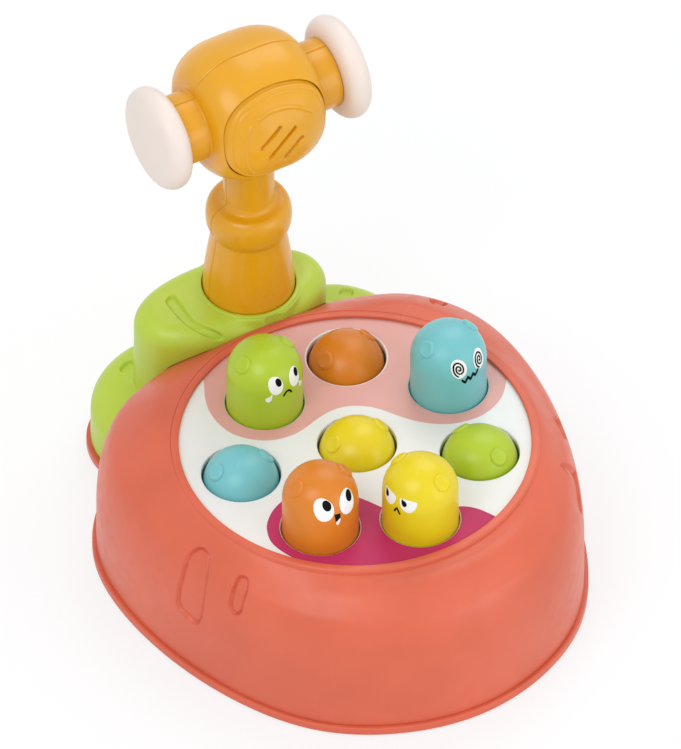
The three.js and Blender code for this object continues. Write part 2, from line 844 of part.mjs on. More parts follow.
function makeHeadHalf(side) {
  const badgeBottom = headRadius + badgeRise - badgeDepth - seatGap;
  const room = badgeBottom - hammerWall;
  const slab = block([-headHeight, -room, 0], [headHeight, room, 2 * headHeight]);
  const hollow = headForm(hammerWall).intersect(slab);
  const half = hammerHalf(headForm(0), hollow, side, headScrewPlaces, headRadius);
  const neckHole = drum(neckRadius + seatGap, 0, headHeight - headRadius + headCrown + seatGap);
  const pegHoles = [-1, 1].map((end) =>
    alongX(drum(strikerPegRadius + seatGap, pegHoleEnd, farAway), end),
  );
  return cut(half, neckHole, ...pegHoles, badgeForm(side, seatGap, badgeBottom, 2 * headRadius));
}

// A badge let into the head over its screws: a hollow cap whose face follows the barrel's form
function makeBadge(side) {
  const bottom = headRadius + badgeRise - badgeDepth;
  const outer = badgeForm(side, 0, bottom, 2 * headRadius).intersect(headForm(-badgeRise));
  const room = badgeForm(side, -hammerWall, bottom - overrun, 2 * headRadius);
  return cut(outer, room.intersect(headForm(hammerWall)));
}

// A striker: a thick rounded disc with a peg, its face towards its own end of X
function makeStriker(end) {
  const edge = strikerThickness / 2;
  const pegTip = pegHoleEnd + seatGap;
  const rim = strikerRimShares.map((share) => {
    const angle = share * quarterTurn;
    return [strikerRadius - edge + edge * Math.cos(angle), strikerReach + edge * Math.sin(angle)];
  });
  const striker = turned([
    [0, pegTip],
    [strikerPegRadius, pegTip],
    [strikerPegRadius, strikerBack],
    [strikerRadius - edge, strikerBack],
    ...rim,
    [strikerRadius * strikerFaceShare, strikerReach + edge],
    [0, strikerReach + edge + strikerBulge],
  ]);
  return alongX(striker, end);
}

// The scene graph: a group about the deck's axis, inside the group that holds the whole part
const aboutDeck = new THREE.Group();

function add(name, solid, look, parent = aboutDeck) {
  const mesh = new THREE.Mesh(geometryOf(solid), new THREE.MeshStandardMaterial(look));
  mesh.name = name;
  mesh.geometry.computeVertexNormals();
  parent.add(mesh);
  return mesh;
}

add("base_tray", makeBaseTray(), coral);
add("body_shell", makeBodyShell(), coral);
add("leaf_shell", makeLeafShell(), leafGreen);
add("deck_panel", makeDeckPanel(), deckWhite);
add("guide_frame", makeGuideFrame(), innerWhite);

for (const pair of pairs) {
  const look = moleColours[pair.colour];
  const raised = add(`mole_${pair.colour}_raised`, makeMole(pair, pair.faceUp), look);
  raised.position.set(...pair.up, 0);
  const lowered = add(`mole_${pair.colour}_lowered`, makeMole(pair, pair.faceDown), look);
  lowered.position.set(...pair.down, -moleTravel);
  const pivot = new THREE.Group();
  pivot.position.set(...pair.pivot, pair.level);
  pivot.rotation.z = pair.heading;
  aboutDeck.add(pivot);
  const rocker = add(`rocker_${pair.colour}`, makeRocker(pair), innerWhite, pivot);
  rocker.rotation.y = -pair.tilt;
  add(`rocker_pin_${pair.colour}`, makePin(pair), steel, pivot);
}

baseBosses.forEach(([x, y], i) => {
  add(`base_screw_${i + 1}`, makeScrew(baseScrewLength), steel).position.set(x, y, footHeight);
});
leafBosses.forEach(([x, y], i) => {
  add(`leaf_screw_${i + 1}`, makeScrew(baseScrewLength), steel).position.set(x, y, footHeight);
});
frameBosses.forEach(([x, y], i) => {
  const under = frameEarTop - frameThickness - screwHeadThickness - seatGap;
  add(`frame_screw_${i + 1}`, makeScrew(frameScrewLength), steel).position.set(x, y, under);
});
rubberFeet.forEach(([x, y], i) => {
  const foot = drum(rubberRadius, 0, rubberThickness);
  add(`rubber_foot_${i + 1}`, foot, rubber).position.set(x, y, 0);
});

const hammer = new THREE.Group();
hammer.position.set(...socketAt, leafTop);
aboutDeck.add(hammer);
add("handle_front", makeHandleHalf(-1), hammerOrange, hammer);
add("handle_back", makeHandleHalf(1), hammerOrange, hammer);
add("head_front", makeHeadHalf(-1), hammerOrange, hammer);
add("head_back", makeHeadHalf(1), hammerOrange, hammer);
add("head_badge_front", makeBadge(-1), hammerOrange, hammer);
add("head_badge_back", makeBadge(1), hammerOrange, hammer);
add("striker_left", makeStriker(-1), strikerWhite, hammer);
add("striker_right", makeStriker(1), strikerWhite, hammer);
hammerScrews.forEach(([x, z], i) => {
  const screw = add(`hammer_screw_${i + 1}`, makeScrew(hammerScrewLength), steel, hammer);
  screw.rotation.x = quarterTurn;
  screw.position.set(x, screwSeat, z);
});

const extent = new THREE.Box3().setFromObject(aboutDeck, true);
aboutDeck.position.y = -(extent.min.y + extent.max.y) / 2;

const game = new THREE.Group();
game.name = "mole_pounding_game";
game.add(aboutDeck);

export default game;
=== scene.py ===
import math

import bmesh
import bpy
import numpy as np
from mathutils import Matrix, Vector


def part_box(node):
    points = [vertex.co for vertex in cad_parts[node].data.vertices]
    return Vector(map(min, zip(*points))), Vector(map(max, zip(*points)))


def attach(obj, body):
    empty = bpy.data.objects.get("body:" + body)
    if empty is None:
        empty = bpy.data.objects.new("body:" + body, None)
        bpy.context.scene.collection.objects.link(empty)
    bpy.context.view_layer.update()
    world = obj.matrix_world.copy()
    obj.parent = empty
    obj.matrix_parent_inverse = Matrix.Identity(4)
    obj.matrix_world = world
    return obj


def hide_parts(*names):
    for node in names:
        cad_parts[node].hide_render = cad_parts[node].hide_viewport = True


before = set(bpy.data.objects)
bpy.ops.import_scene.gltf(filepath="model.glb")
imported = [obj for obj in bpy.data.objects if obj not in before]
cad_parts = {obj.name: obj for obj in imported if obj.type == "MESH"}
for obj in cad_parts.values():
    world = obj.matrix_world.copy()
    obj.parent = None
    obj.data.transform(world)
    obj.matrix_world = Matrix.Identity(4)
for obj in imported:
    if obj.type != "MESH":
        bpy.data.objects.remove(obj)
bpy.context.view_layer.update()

deck_low, deck_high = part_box("deck_panel")
SHIFT = (deck_low.y + deck_high.y) / 2 * 1000  # the deck's axis, along Y

# ---- sizes, as in the CAD
BODY = 116.2  # the casing's mean half width, and the shares of it that shape its outline
SHARES = [-0.0271, 0.0161, 0.0487, -0.0239, -0.0009, -0.0028, 0.0054]
WALL = 2.5
SHELL_BOTTOM, WALL_TOP = 5.3, 31.0
PLATE_BOTTOM, PLATE_TOP, RIM_TOP, RIM_OUT = 1, 3.6, 5.2, 2.0
DECK_Z, DECK_R, BEZEL_R = 80.0, 84.0, 88.6
MOLE_R, HOLE_R, TRAVEL = 18.3, 19.05, 26.0
SPRING, DOME = 100.0, 17.5  # a raised mole's springline, and its dome's height over it
ROCKER_GAP, ROCKER_HALF, LEVEL_STEP = 0.8, 3.2, 10.2
LEAF_TURN, SOCKET_REACH, LEAF_TOP = math.radians(-3), 113.51, 87.3
SOCKET_IN, SOCKET_OUT, SOCKET_DEPTH = 22.475, 24.675, 44.0
SOCKET = (-math.sin(LEAF_TURN) * SOCKET_REACH, math.cos(LEAF_TURN) * SOCKET_REACH)
HEAD_Z = 120.8  # the head's middle, over the leaf's top
ABOVE = 95  # over everything but the hammer

# The middles of each pair's holes in shares of the deck's radius, which way the moles face in
# degrees, and the rank of the rocker's level
PAIRS = {
    "green": dict(up=(-0.28, 0.545), down=(0.58, -0.411), faces=(-82.5, 14.5), rank=2),
    "blue": dict(up=(0.69, 0.144), down=(-0.681, 0.106), faces=(-81.5, 85.5), rank=1),
    "orange": dict(up=(-0.502, -0.489), down=(0.298, 0.626), faces=(-91.3, 100.7), rank=0),
    "yellow": dict(up=(0.025, -0.709), down=(0.008, -0.01), faces=(-157.5, 90.5), rank=2),
}
LOW_LEVEL = PLATE_TOP + ROCKER_GAP + ROCKER_HALF + TRAVEL / 2
for pair in PAIRS.values():
    pair["level"] = LOW_LEVEL + LEVEL_STEP * pair["rank"]
    for place in ("up", "down"):
        pair[place] = [s * DECK_R for s in pair[place]]
HOLES = [(tuple(pair[k]), (name, k)) for name, pair in PAIRS.items() for k in ("up", "down")]

# ---- the photograph's view
AHEAD = np.array([0.492, 0.870]) / math.hypot(0.492, 0.870)  # across the table, into the picture
ASIDE = np.array([AHEAD[1], -AHEAD[0]])
SINK, RISE = 0.7058, 0.7084  # what is left of a length ahead and of a height
SCALE = 2.1  # pixels a millimetre
MID_X, MID_Y = 354.98, 443.27  # the deck's middle
PICTURE_HIGH = 749


def picture(points):
    """Where points fall in the photograph, in its pixels."""
    x = MID_X + SCALE * (points[:, :2] @ ASIDE)
    y = MID_Y - SCALE * ((points[:, :2] @ AHEAD) * SINK + (points[:, 2] - DECK_Z) * RISE)
    return np.stack([x, y], 1)


def on_deck(spots):
    """Points of the deck's plane from pixels of the photograph."""
    out = []
    for x, y in spots:
        a = (x - MID_X) / SCALE
        b = -(y - MID_Y) / SCALE / SINK
        out.append((a * ASIDE[0] + b * AHEAD[0], a * ASIDE[1] + b * AHEAD[1]))
    return out


# ---- lines
def around(steps):
    """Angles round a full turn."""
    return np.linspace(0, 2 * math.pi, steps, endpoint=False)


def bent(turn, power):
    """Cosine and sine of angles, bent to a superellipse."""
    return [np.sign(v) * np.abs(v) ** (2 / power) for v in (np.cos(turn), np.sin(turn))]


def segment_far(points, p, q):
    """How far points are from the straight line between two of them."""
    d = q - p
    t = np.clip(((points - p) @ d) / max(d @ d, 1e-12), 0, 1)
    return np.linalg.norm(points - p - t[:, None] * d, axis=1)


def line_far(points, line):
    """How far points are from a line of many points."""
    line = [np.array(p, float) for p in line]
    return np.min([segment_far(points, p, q) for p, q in zip(line, line[1:])], axis=0)


def inside(points, loop):
    """How far each point lies inside a closed loop, and minus how far outside."""
    loop = np.asarray(loop, float)
    best = np.full(len(points), 1e9)
    odd = np.zeros(len(points), bool)
    for p, q in zip(loop, np.roll(loop, -1, 0)):
        best = np.minimum(best, segment_far(points, p, q))
        d = q - p
        if d[1] != 0:
            over = (p[1] > points[:, 1]) != (q[1] > points[:, 1])
            odd ^= over & (points[:, 0] < p[0] + (points[:, 1] - p[1]) / d[1] * d[0])
    return np.where(odd, best, -best)


def curve(points, steps=6, closed=False):
    """A smooth line through points."""
    p = [np.asarray(q, float) for q in points]
    n = len(p)
    out = []
    for i in range(n if closed else n - 1):
        a, b = p[i], p[(i + 1) % n]
        before = p[(i - 1) % n] if closed or i > 0 else a
        after = p[(i + 2) % n] if closed or i + 2 < n else b
        for k in range(steps):
            t = k / steps
            out.append(
                0.5 * (2 * a + (b - before) * t + (2 * before - 5 * a + 4 * b - after) * t * t
                       + (3 * a - before - 3 * b + after) * t ** 3)
            )
    if not closed:
        out.append(p[-1])
    return out


def ease(t):
    t = np.clip(t, 0, 1)
    return t * t * (3 - 2 * t)


def eased(points, radius, steps=5):
    """A profile whose corners give way to short curves. A third number is a corner's own radius."""
    out = [np.array(points[0][:2], float)]
    for p, q, s in zip(points, points[1:], points[2:]):
        reach = q[2] if len(q) > 2 else radius
        a, b, c = (np.array(v[:2], float) for v in (p, q, s))
        ab, bc = np.linalg.norm(a - b), np.linalg.norm(c - b)
        if reach <= 0 or ab < 1e-6 or bc < 1e-6:
            out.append(b)
            continue
        u = b + (a - b) * min(reach / ab, 0.49)
        v = b + (c - b) * min(reach / bc, 0.49)
        for k in range(steps + 1):
            t = k / steps
            out.append((1 - t) ** 2 * u + 2 * t * (1 - t) * b + t * t * v)
    out.append(np.array(points[-1][:2], float))
    return out


# ---- meshes
def loft(rings, tube=False, tips=(None, None)):
    """A closed skin over rings of equal count, capped at both ends or joined end to end."""
    n, m = len(rings[0]), len(rings)
    verts = [tuple(p) for ring in rings for p in ring]
    faces = []
    for k in range(m if tube else m - 1):
        a, b = k * n, (k + 1) % m * n
        for i in range(n):
            j = (i + 1) % n
            faces.append((a + i, a + j, b + j, b + i))
    if not tube:
        for k, tip in zip((0, m - 1), tips):
            verts.append(tuple(np.mean(np.asarray(rings[k]), 0) if tip is None else tip))
            last = len(verts) - 1
            faces += [(k * n + i, k * n + (i + 1) % n, last) for i in range(n)]
    return verts, faces


def turned(profile, steps):
    """A solid of revolution about Z from [radius, height] points, from axis to axis."""
    turn = around(steps)
    c, s = np.cos(turn), np.sin(turn)
    rings = [np.stack([r * c, r * s, np.full(steps, z)], 1) for r, z in profile if r > 1e-6]
    return loft(rings, tips=((0, 0, profile[0][1]), (0, 0, profile[-1][1])))


def drum(radius, low, high, steps):
    """A plain cylinder, as a tool that cuts."""
    return turned([(0, low), (radius, low), (radius, high), (0, high)], steps)


def moved(part, dx, dy):
    verts, faces = part
    return [(x + dx, y + dy, z) for x, y, z in verts], faces


def spun(part, angle, x, y, dz):
    """A part turned about Z, then moved."""
    verts, faces = part
    c, s = math.cos(angle), math.sin(angle)
    return [(x + px * c - py * s, y + px * s + py * c, pz + dz) for px, py, pz in verts], faces


def joined(*parts):
    """Several skins as one."""
    verts, faces = [], []
    for v, f in parts:
        base = len(verts)
        verts += list(v)
        faces += [tuple(i + base for i in face) for face in f]
    return verts, faces


def walls(n):
    """The faces between two loops of n points, one after the other."""
    return [(i, (i + 1) % n, n + (i + 1) % n, n + i) for i in range(n)]


def prism(loop, z0, z1):
    """A flat slab over a closed loop."""
    n = len(loop)
    verts = [(x, y, z) for z in (z0, z1) for x, y in loop]
    return verts, [tuple(range(n - 1, -1, -1)), tuple(range(n, 2 * n))] + walls(n)


def raw(name, part):
    """An object of a part, its normals outwards."""
    verts, faces = part
    mesh = bpy.data.meshes.new(name)
    mesh.from_pydata([(x / 1000, (y + SHIFT) / 1000, z / 1000) for x, y, z in verts], [], faces)
    bm = bmesh.new()
    bm.from_mesh(mesh)
    bmesh.ops.recalc_face_normals(bm, faces=bm.faces)
    bm.to_mesh(mesh)
    bm.free()
    obj = bpy.data.objects.new(name, mesh)
    bpy.context.scene.collection.objects.link(obj)
    return obj


def discard(obj):
    mesh = obj.data
    bpy.data.objects.remove(obj)
    bpy.data.meshes.remove(mesh)


def settle(obj):
    """Applies an object's modifiers."""
    graph = bpy.context.evaluated_depsgraph_get()
    mesh = bpy.data.meshes.new_from_object(obj.evaluated_get(graph))
    old = obj.data
    obj.modifiers.clear()
    obj.data = mesh
    bpy.data.meshes.remove(old)


def carve(obj, tool, how="DIFFERENCE"):
    """A boolean with a second object, which goes."""
    step = obj.modifiers.new("carve", "BOOLEAN")
    step.operation = how
    step.solver = "EXACT"
    step.object = tool
    settle(obj)
    discard(tool)


def points_of(obj):
    """An object's points in millimetres about the deck's axis, and its normals."""
    n = len(obj.data.vertices)
    points = np.empty(n * 3, np.float32)
    normals = np.empty(n * 3, np.float32)
    obj.data.vertices.foreach_get("co", points)
    obj.data.vertex_normals.foreach_get("vector", normals)
    points = points.reshape(-1, 3).astype(float) * 1000
    points[:, 1] -= SHIFT
    return points, normals.reshape(-1, 3).astype(float)


def put(obj, points):
    """Gives an object's points new places."""
    points = points.copy()
    points[:, 1] += SHIFT
    obj.data.vertices.foreach_set("co", (points / 1000).astype(np.float32).ravel())
    obj.data.update()


def part_of(obj):
    return [tuple(p) for p in points_of(obj)[0]], [tuple(p.vertices) for p in obj.data.polygons]


def facing_view(normals):
    return normals[:, :2] @ AHEAD * RISE - normals[:, 2] * SINK < -0.1


PRESS_ROUND, PRESS_CUTS = 4, 3  # how far round an outline, in pixels, edges are cut, and how often
FACES_UP = 0.3


def press(obj, loops, depth, edge, trench, reach, spans=None):
    """Presses hollows into what faces the camera, by their outlines in the photograph, with a
    finer line along their edge. The mesh is made finer round them first. Spans are the heights
    between which each outline counts, and then only on what faces up."""
    loops = [curve(loop, 5, True) for loop in loops]
    points, normals = points_of(obj)
    spots = picture(points)
    far = np.max([inside(spots, loop) for loop in loops], axis=0)
    near = (far > -PRESS_ROUND) & facing_view(normals)
    bm = bmesh.new()
    bm.from_mesh(obj.data)
    bm.verts.ensure_lookup_table()
    edges = [e for e in bm.edges if near[e.verts[0].index] and near[e.verts[1].index]]
    bmesh.ops.subdivide_edges(bm, edges=edges, cuts=PRESS_CUTS, use_grid_fill=True)
    bm.to_mesh(obj.data)
    bm.free()
    points, normals = points_of(obj)
    spots = picture(points)
    push = np.zeros(len(points))
    for k, loop in enumerate(loops):
        far = inside(spots, loop) / SCALE
        if spans is not None:
            held = (points[:, 2] > spans[k][0]) & (points[:, 2] < spans[k][1])
            far[~(held & (normals[:, 2] > FACES_UP))] = -99
        hollow = depth * ease((far + edge * 0.4) / edge)
        push = np.maximum(push, hollow + trench * ease(1 - np.abs(far - edge * 0.5) / reach))
    push[~facing_view(normals)] = 0
    put(obj, points - normals * push[:, None])


def finish_piece(obj, look, body="casing", replaces=(), angle=38):
    for poly in obj.data.polygons:
        poly.use_smooth = True
    obj.data.set_sharp_from_angle(angle=math.radians(angle))
    obj.data.materials.clear()
    obj.data.materials.append(look)
    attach(obj, body)
    if replaces:
        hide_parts(*replaces)


# ---- materials
def linear(rgb):
    return [((c / 255 + 0.055) / 1.055) ** 2.4 if c > 10 else c / 255 / 12.92 for c in rgb]


def new_material(name):
    """A material, its node tree and its shader."""
    mat = bpy.data.materials.new(name)
    mat.use_nodes = True
    return mat, mat.node_tree, mat.node_tree.nodes["Principled BSDF"]


def filled(node, values):
    """A node with some of its inputs set."""
    for key, value in values.items():
        node.inputs[key].default_value = value
    return node


def noise(tree, scale, detail):
    """Noise over the object's own coordinates."""
    place = tree.nodes.new("ShaderNodeTexCoord")
    tex = filled(tree.nodes.new("ShaderNodeTexNoise"), {"Scale": scale, "Detail": detail})
    tree.links.new(place.outputs["Object"], tex.inputs["Vector"])
    return tex.outputs["Fac"]


def span(tree, source, low, high, to_low, to_high):
    """A value's range from low to high, spread over another."""
    ends = {"From Min": low, "From Max": high, "To Min": to_low, "To Max": to_high}
    node = filled(tree.nodes.new("ShaderNodeMapRange"), ends)
    tree.links.new(source, node.inputs["Value"])
    return node.outputs["Result"]


def any_ray(tree, first, *others):
    """1 for rays of some kinds, 0 for the rest."""
    path = tree.nodes.new("ShaderNodeLightPath")
    out = path.outputs[first]
    for kind in others:
        node = tree.nodes.new("ShaderNodeMath")
        node.operation = "MAXIMUM"
        tree.links.new(out, node.inputs[0])
        tree.links.new(path.outputs[kind], node.inputs[1])
        out = node.outputs[0]
    return out


def bump(tree, height, strength, distance):
    node = filled(tree.nodes.new("ShaderNodeBump"), {"Strength": strength, "Distance": distance})
    tree.links.new(height, node.inputs["Height"])
    return node


def blended(tree, share):
    """A node that mixes two colours by a share."""
    node = tree.nodes.new("ShaderNodeMix")
    node.data_type = "RGBA"
    tree.links.new(share, node.inputs["Factor"])
    return node


# Scale and detail of a plastic's clouds of colour, smears of gloss, fine skin and slow waves
CLOUD, SMEAR, SKIN, WAVE = (26, 4), (160, 5), (2200, 2), (60, 1)


def plastic(name, rgb, rough=0.34, coat=0.05, grain=0.05, mottle=0.05, glow=0.06,
            shine=0.5, wear=0.2):
    """Moulded plastic: a little mottled, with a fine skin, satin to glossy, paler on worn edges."""
    mat, tree, shader = new_material(name)
    base = linear(rgb)
    tint = blended(tree, span(tree, noise(tree, *CLOUD), 0.3, 0.7, 0, 1))
    tint.inputs["A"].default_value = [c * (1 - mottle) for c in base] + [1]
    tint.inputs["B"].default_value = [min(1, c * (1 + mottle) + 0.006) for c in base] + [1]
    edge = tree.nodes.new("ShaderNodeNewGeometry")
    worn = blended(tree, span(tree, edge.outputs["Pointiness"], 0.53, 0.62, 0, wear))
    tree.links.new(tint.outputs["Result"], worn.inputs["A"])
    worn.inputs["B"].default_value = [min(1, c * 1.15 + 0.05) for c in base] + [1]
    tree.links.new(worn.outputs["Result"], shader.inputs["Base Color"])
    gloss = span(tree, noise(tree, *SMEAR), 0.3, 0.7, rough - 0.05, rough + 0.06)
    tree.links.new(gloss, shader.inputs["Roughness"])
    fine = bump(tree, noise(tree, *SKIN), grain, 0.0004)
    slow = bump(tree, noise(tree, *WAVE), 0.10, 0.0012)
    tree.links.new(slow.outputs["Normal"], fine.inputs["Normal"])
    tree.links.new(fine.outputs["Normal"], shader.inputs["Normal"])
    filled(shader, {
        "IOR": 1.42, "Specular IOR Level": shine, "Coat Weight": coat, "Coat Roughness": 0.18,
        "Subsurface Weight": glow, "Subsurface Radius": (0.004, 0.003, 0.002),
        "Subsurface Scale": 0.5,
    })
    return mat


def metal(name):
    """Brushed steel, its grey and its gloss uneven."""
    mat, tree, shader = new_material(name)
    shader.inputs["Metallic"].default_value = 1.0
    grain = noise(tree, 700, 6)
    ramp = tree.nodes.new("ShaderNodeValToRGB")
    ramp.color_ramp.elements[0].color = (0.42, 0.43, 0.45, 1)
    ramp.color_ramp.elements[1].color = (0.62, 0.63, 0.65, 1)
    tree.links.new(grain, ramp.inputs["Fac"])
    tree.links.new(ramp.outputs["Color"], shader.inputs["Base Color"])
    tree.links.new(span(tree, grain, 0, 1, 0.22, 0.5), shader.inputs["Roughness"])
    return mat


CORAL = plastic("coral_plastic", (211, 97, 68), rough=0.38)
LEAF = plastic("leaf_plastic", (178, 200, 62))
WHITE = plastic("deck_plastic", (226, 226, 222), rough=0.36, mottle=0.012)
PINK = plastic("print_pink", (219, 160, 150), mottle=0.02, grain=0.03)
MAGENTA = plastic("print_magenta", (186, 40, 92), rough=0.4, coat=0, mottle=0.02,
                  grain=0.03, shine=0.25)
HAMMER = plastic("hammer_plastic", (220, 156, 8), rough=0.32, coat=0.2)
STRIKER = plastic("striker_plastic", (228, 214, 204), rough=0.42, mottle=0.015)
INNER = plastic("inner_plastic", (222, 220, 214), rough=0.5, mottle=0.02)
PRINT_WHITE = plastic("face_white", (236, 235, 232), rough=0.4, mottle=0.01, grain=0.02)
PRINT_BLACK = plastic("face_black", (10, 8, 10), rough=0.5, coat=0, grain=0.02, glow=0,
                      shine=0.06, wear=0)
MOLE = {
    "green": plastic("mole_green_plastic", (168, 192, 36)),
    "blue": plastic("mole_blue_plastic", (112, 186, 190)),
    "orange": plastic("mole_orange_plastic", (209, 121, 20)),
    "yellow": plastic("mole_yellow_plastic", (222, 200, 10)),
}
STEEL = metal("steel")
RUBBER = plastic("rubber", (74, 74, 76), rough=0.75, coat=0, grain=0.3, mottle=0.1, glow=0)


# ---- the casing
def swing(a):
    """What the shares add to the casing's reach at angles a from its tip, and its slope."""
    add = BODY * sum(s * np.cos((k + 1) * a) for k, s in enumerate(SHARES))
    slope = -BODY * sum(s * (k + 1) * np.sin((k + 1) * a) for k, s in enumerate(SHARES))
    return add, slope


def outline(a, inset):
    """The casing's outline along normals at angles a from its tip, moved inwards."""
    add, slope = swing(a)
    reach = BODY - inset + add
    return np.stack(
        [reach * np.sin(a) + slope * np.cos(a), -reach * np.cos(a) + slope * np.sin(a)], -1
    )


def ring_at(a, inset, z):
    xy = outline(a, inset)
    return np.concatenate([xy, np.broadcast_to(np.asarray(z, float), a.shape)[:, None]], 1)


def inset_at(a, radius):
    """The inset at which the outline is at a given distance from the deck's axis."""
    add, slope = swing(a)
    return BODY + add - np.sqrt(radius ** 2 - slope ** 2)


# The shoulder's section, as insets and heights: an arc from the top of the wall, a curve pulled
# by three points, and a last slope
ARC_IN, ARC_UP, ARC_TURN = 11.87, 38.4, 72.8
ARCH = ((8.36, 67.7), (18.4, 77.6), (27.8, 82.0))
LAST_SLOPE = ((30.0, 82.6), (40.0, 83.6))


def shoulder_line(grow):
    """The shoulder's section, moved outwards."""
    t = np.radians(np.linspace(0, ARC_TURN, 60))
    s = np.linspace(0, 1, 60)[1:]
    arch = [(1 - s) ** 2 * p + 2 * s * (1 - s) * q + s * s * r for p, q, r in zip(*ARCH)]
    ins = np.concatenate([ARC_IN * (1 - np.cos(t)), arch[0], [p[0] for p in LAST_SLOPE]])
    zs = np.concatenate([WALL_TOP + ARC_UP * np.sin(t), arch[1], [p[1] for p in LAST_SLOPE]])
    slope = np.arctan2(np.gradient(zs), np.gradient(ins))
    return ins - grow * np.sin(slope), zs + grow * np.cos(slope)


def shoulder(length, limit, grow=0.0):
    """Inset and height at a share of the way along the shoulder to an inset."""
    ins, zs = shoulder_line(grow)
    arc = np.concatenate([[0], np.cumsum(np.hypot(np.diff(ins), np.diff(zs)))])
    at = length * np.interp(limit, ins, arc)
    return np.interp(at, arc, ins), np.interp(at, arc, zs)


# The valley beside the bezel: its height at the tip, its rise towards the back, and its width
VALLEY_Z, VALLEY_RISE, VALLEY_WIDE = 79.3, 2.3, 11.5
BEZEL_TOP, SEAT_Z, SEAT_R = 81.95, 80.3, 86.6
BITE_R = 24.975  # what the casing leaves free round the socket
WRINKLES = [
    [(191.4, 550.5), (199.5, 547.0), (205.8, 550.2), (208.9, 558.5), (207.6, 575.5),
     (205, 593.6), (202.7, 611.8), (199.5, 622), (194.5, 624.5), (186.8, 617.7), (178.6, 609.5),
     (175.9, 600.5), (177.7, 586.8), (181.8, 570.9), (185.9, 557.3)],
    [(242.7, 575.5), (247.3, 578.6), (248.2, 586.8), (244.5, 599), (241.4, 611.8),
     (236.8, 615.5), (231.4, 613.2), (228.2, 605), (230.5, 593.6), (234.1, 582.3),
     (237.7, 576.8)],
    [(554, 417), (559, 419), (564, 426), (568, 437), (565, 438), (560.5, 431), (556, 423)],
    [(561, 463.5), (568, 464), (574, 469), (579, 478), (582.5, 490), (584.5, 503), (584.5, 514),
     (581, 512), (578, 500), (575, 488), (570, 477), (563, 468)],
    [(430, 299), (437, 298), (444, 300), (447, 304), (440, 305.5), (433, 303.5)],
]


def make_casing():
    a = around(640)
    crease = inset_at(a, BEZEL_R)
    foot = [(1.6, 0), (0.3, 0.02), (0.06, 0.2)]
    rings = [ring_at(a, inset, SHELL_BOTTOM + lift) for inset, lift in foot]
    rings += [ring_at(a, 0, z) for z in np.linspace(SHELL_BOTTOM + 1, WALL_TOP, 22)]
    top = shoulder(1.0, crease)[1]
    to_back = ease((np.degrees(np.minimum(a, 2 * math.pi - a)) - 50) / 45)
    meet = VALLEY_Z + VALLEY_RISE * to_back
    for q in np.concatenate([np.linspace(0, 0.96, 56)[1:], [0.972, 0.983, 0.992, 1.0]]):
        ins, z = shoulder(q, crease)
        rings.append(ring_at(a, ins, z + (meet - top) * ease(1 - (crease - ins) / VALLEY_WIDE)))
    polar = np.arctan2(rings[-1][:, 1], rings[-1][:, 0])
    last = rings[-1][:, 2]

    def circle(r, z):
        return np.stack([r * np.cos(polar), r * np.sin(polar), z + 0 * polar], 1)

    bezel = eased(
        [(88.4, 79), (88.05, 81.5, 0.7), (86.9, BEZEL_TOP, 0.8), (DECK_R + 0.1, BEZEL_TOP, 0.6),
         (DECK_R, SEAT_Z, 0.25), (SEAT_R, SEAT_Z, 0), (86.9, 79.6)], 0.5, 4)
    rings.append(circle(88.42, last + 0.02))
    rings += [circle(r, np.maximum(z, last + 0.05) if r > 88 else z) for r, z in bezel[1:]]
    inner = inset_at(a, 87.0) - WALL
    for q in np.linspace(1, 0, 12):
        ins, z = shoulder(q, inner)
        rings.append(ring_at(a, ins + WALL, np.minimum(z - 0.6, 78.8)))
    rings += [ring_at(a, WALL, SHELL_BOTTOM + lift) for lift in (12, 0)]
    obj = raw("casing", loft(rings, tube=True))
    press(obj, WRINKLES, depth=1.2, edge=1.1, trench=0.65, reach=0.95)
    carve(obj, raw("bite", moved(drum(BITE_R, 0, ABOVE, 160), *SOCKET)))
    finish_piece(obj, CORAL, replaces=["body_shell"])


make_casing()


# ---- the leaf
def leaf_point(across, along, z):
    c, s = math.cos(LEAF_TURN), math.sin(LEAF_TURN)
    return np.stack([across * c - along * s, across * s + along * c, z + 0 * across], 1)


# across, half width, half length, power in plan, top, edge radius, slope of the top
LOBES = [
    (-10.0, 49.0, 25.5, 2.2, LEAF_TOP, 10.0, 0.0),
    (51.0, 32.4, 33.0, 2.0, 38.7, 11.0, -0.2),
    (-47.3, 33.0, 33.0, 2.0, 42.1, 12.0, 0.28),
]
LOBE_STEPS = 160


def lobe(shape):
    """A lobe with a round edge, from the shell's bottom to its top."""
    across, half_w, half_l, power, top, edge, slope = shape
    cx, cy = bent(around(LOBE_STEPS), power)

    def ring(reduce, z):
        x = (half_w - reduce) * cx
        lift = slope * x * (z - SHELL_BOTTOM) / (top - SHELL_BOTTOM)
        return leaf_point(across + x, SOCKET_REACH + (half_l - reduce) * cy, z + lift)

    rings = [ring(0, z) for z in np.linspace(SHELL_BOTTOM, top - edge, 12)]
    for t in np.linspace(0, math.pi / 2, 22)[1:]:
        rings.append(ring(edge * (1 - math.cos(t)), top - edge * (1 - math.sin(t))))
    rings.append(ring(edge + (half_l - edge) * 0.5, top))
    return loft(rings)


def lobe_slab(shape, grow, z0, z1):
    """A slab round a lobe, for the base plate."""
    across, half_w, half_l, power = shape[:4]
    cx, cy = bent(around(LOBE_STEPS), power)
    section = eased([(3, z0), (0, z0), (0, z1), (3, z1)], 0.5, 4)
    return loft([leaf_point(across + (half_w + grow - i) * cx,
                            SOCKET_REACH + (half_l + grow - i) * cy, z) for i, z in section])


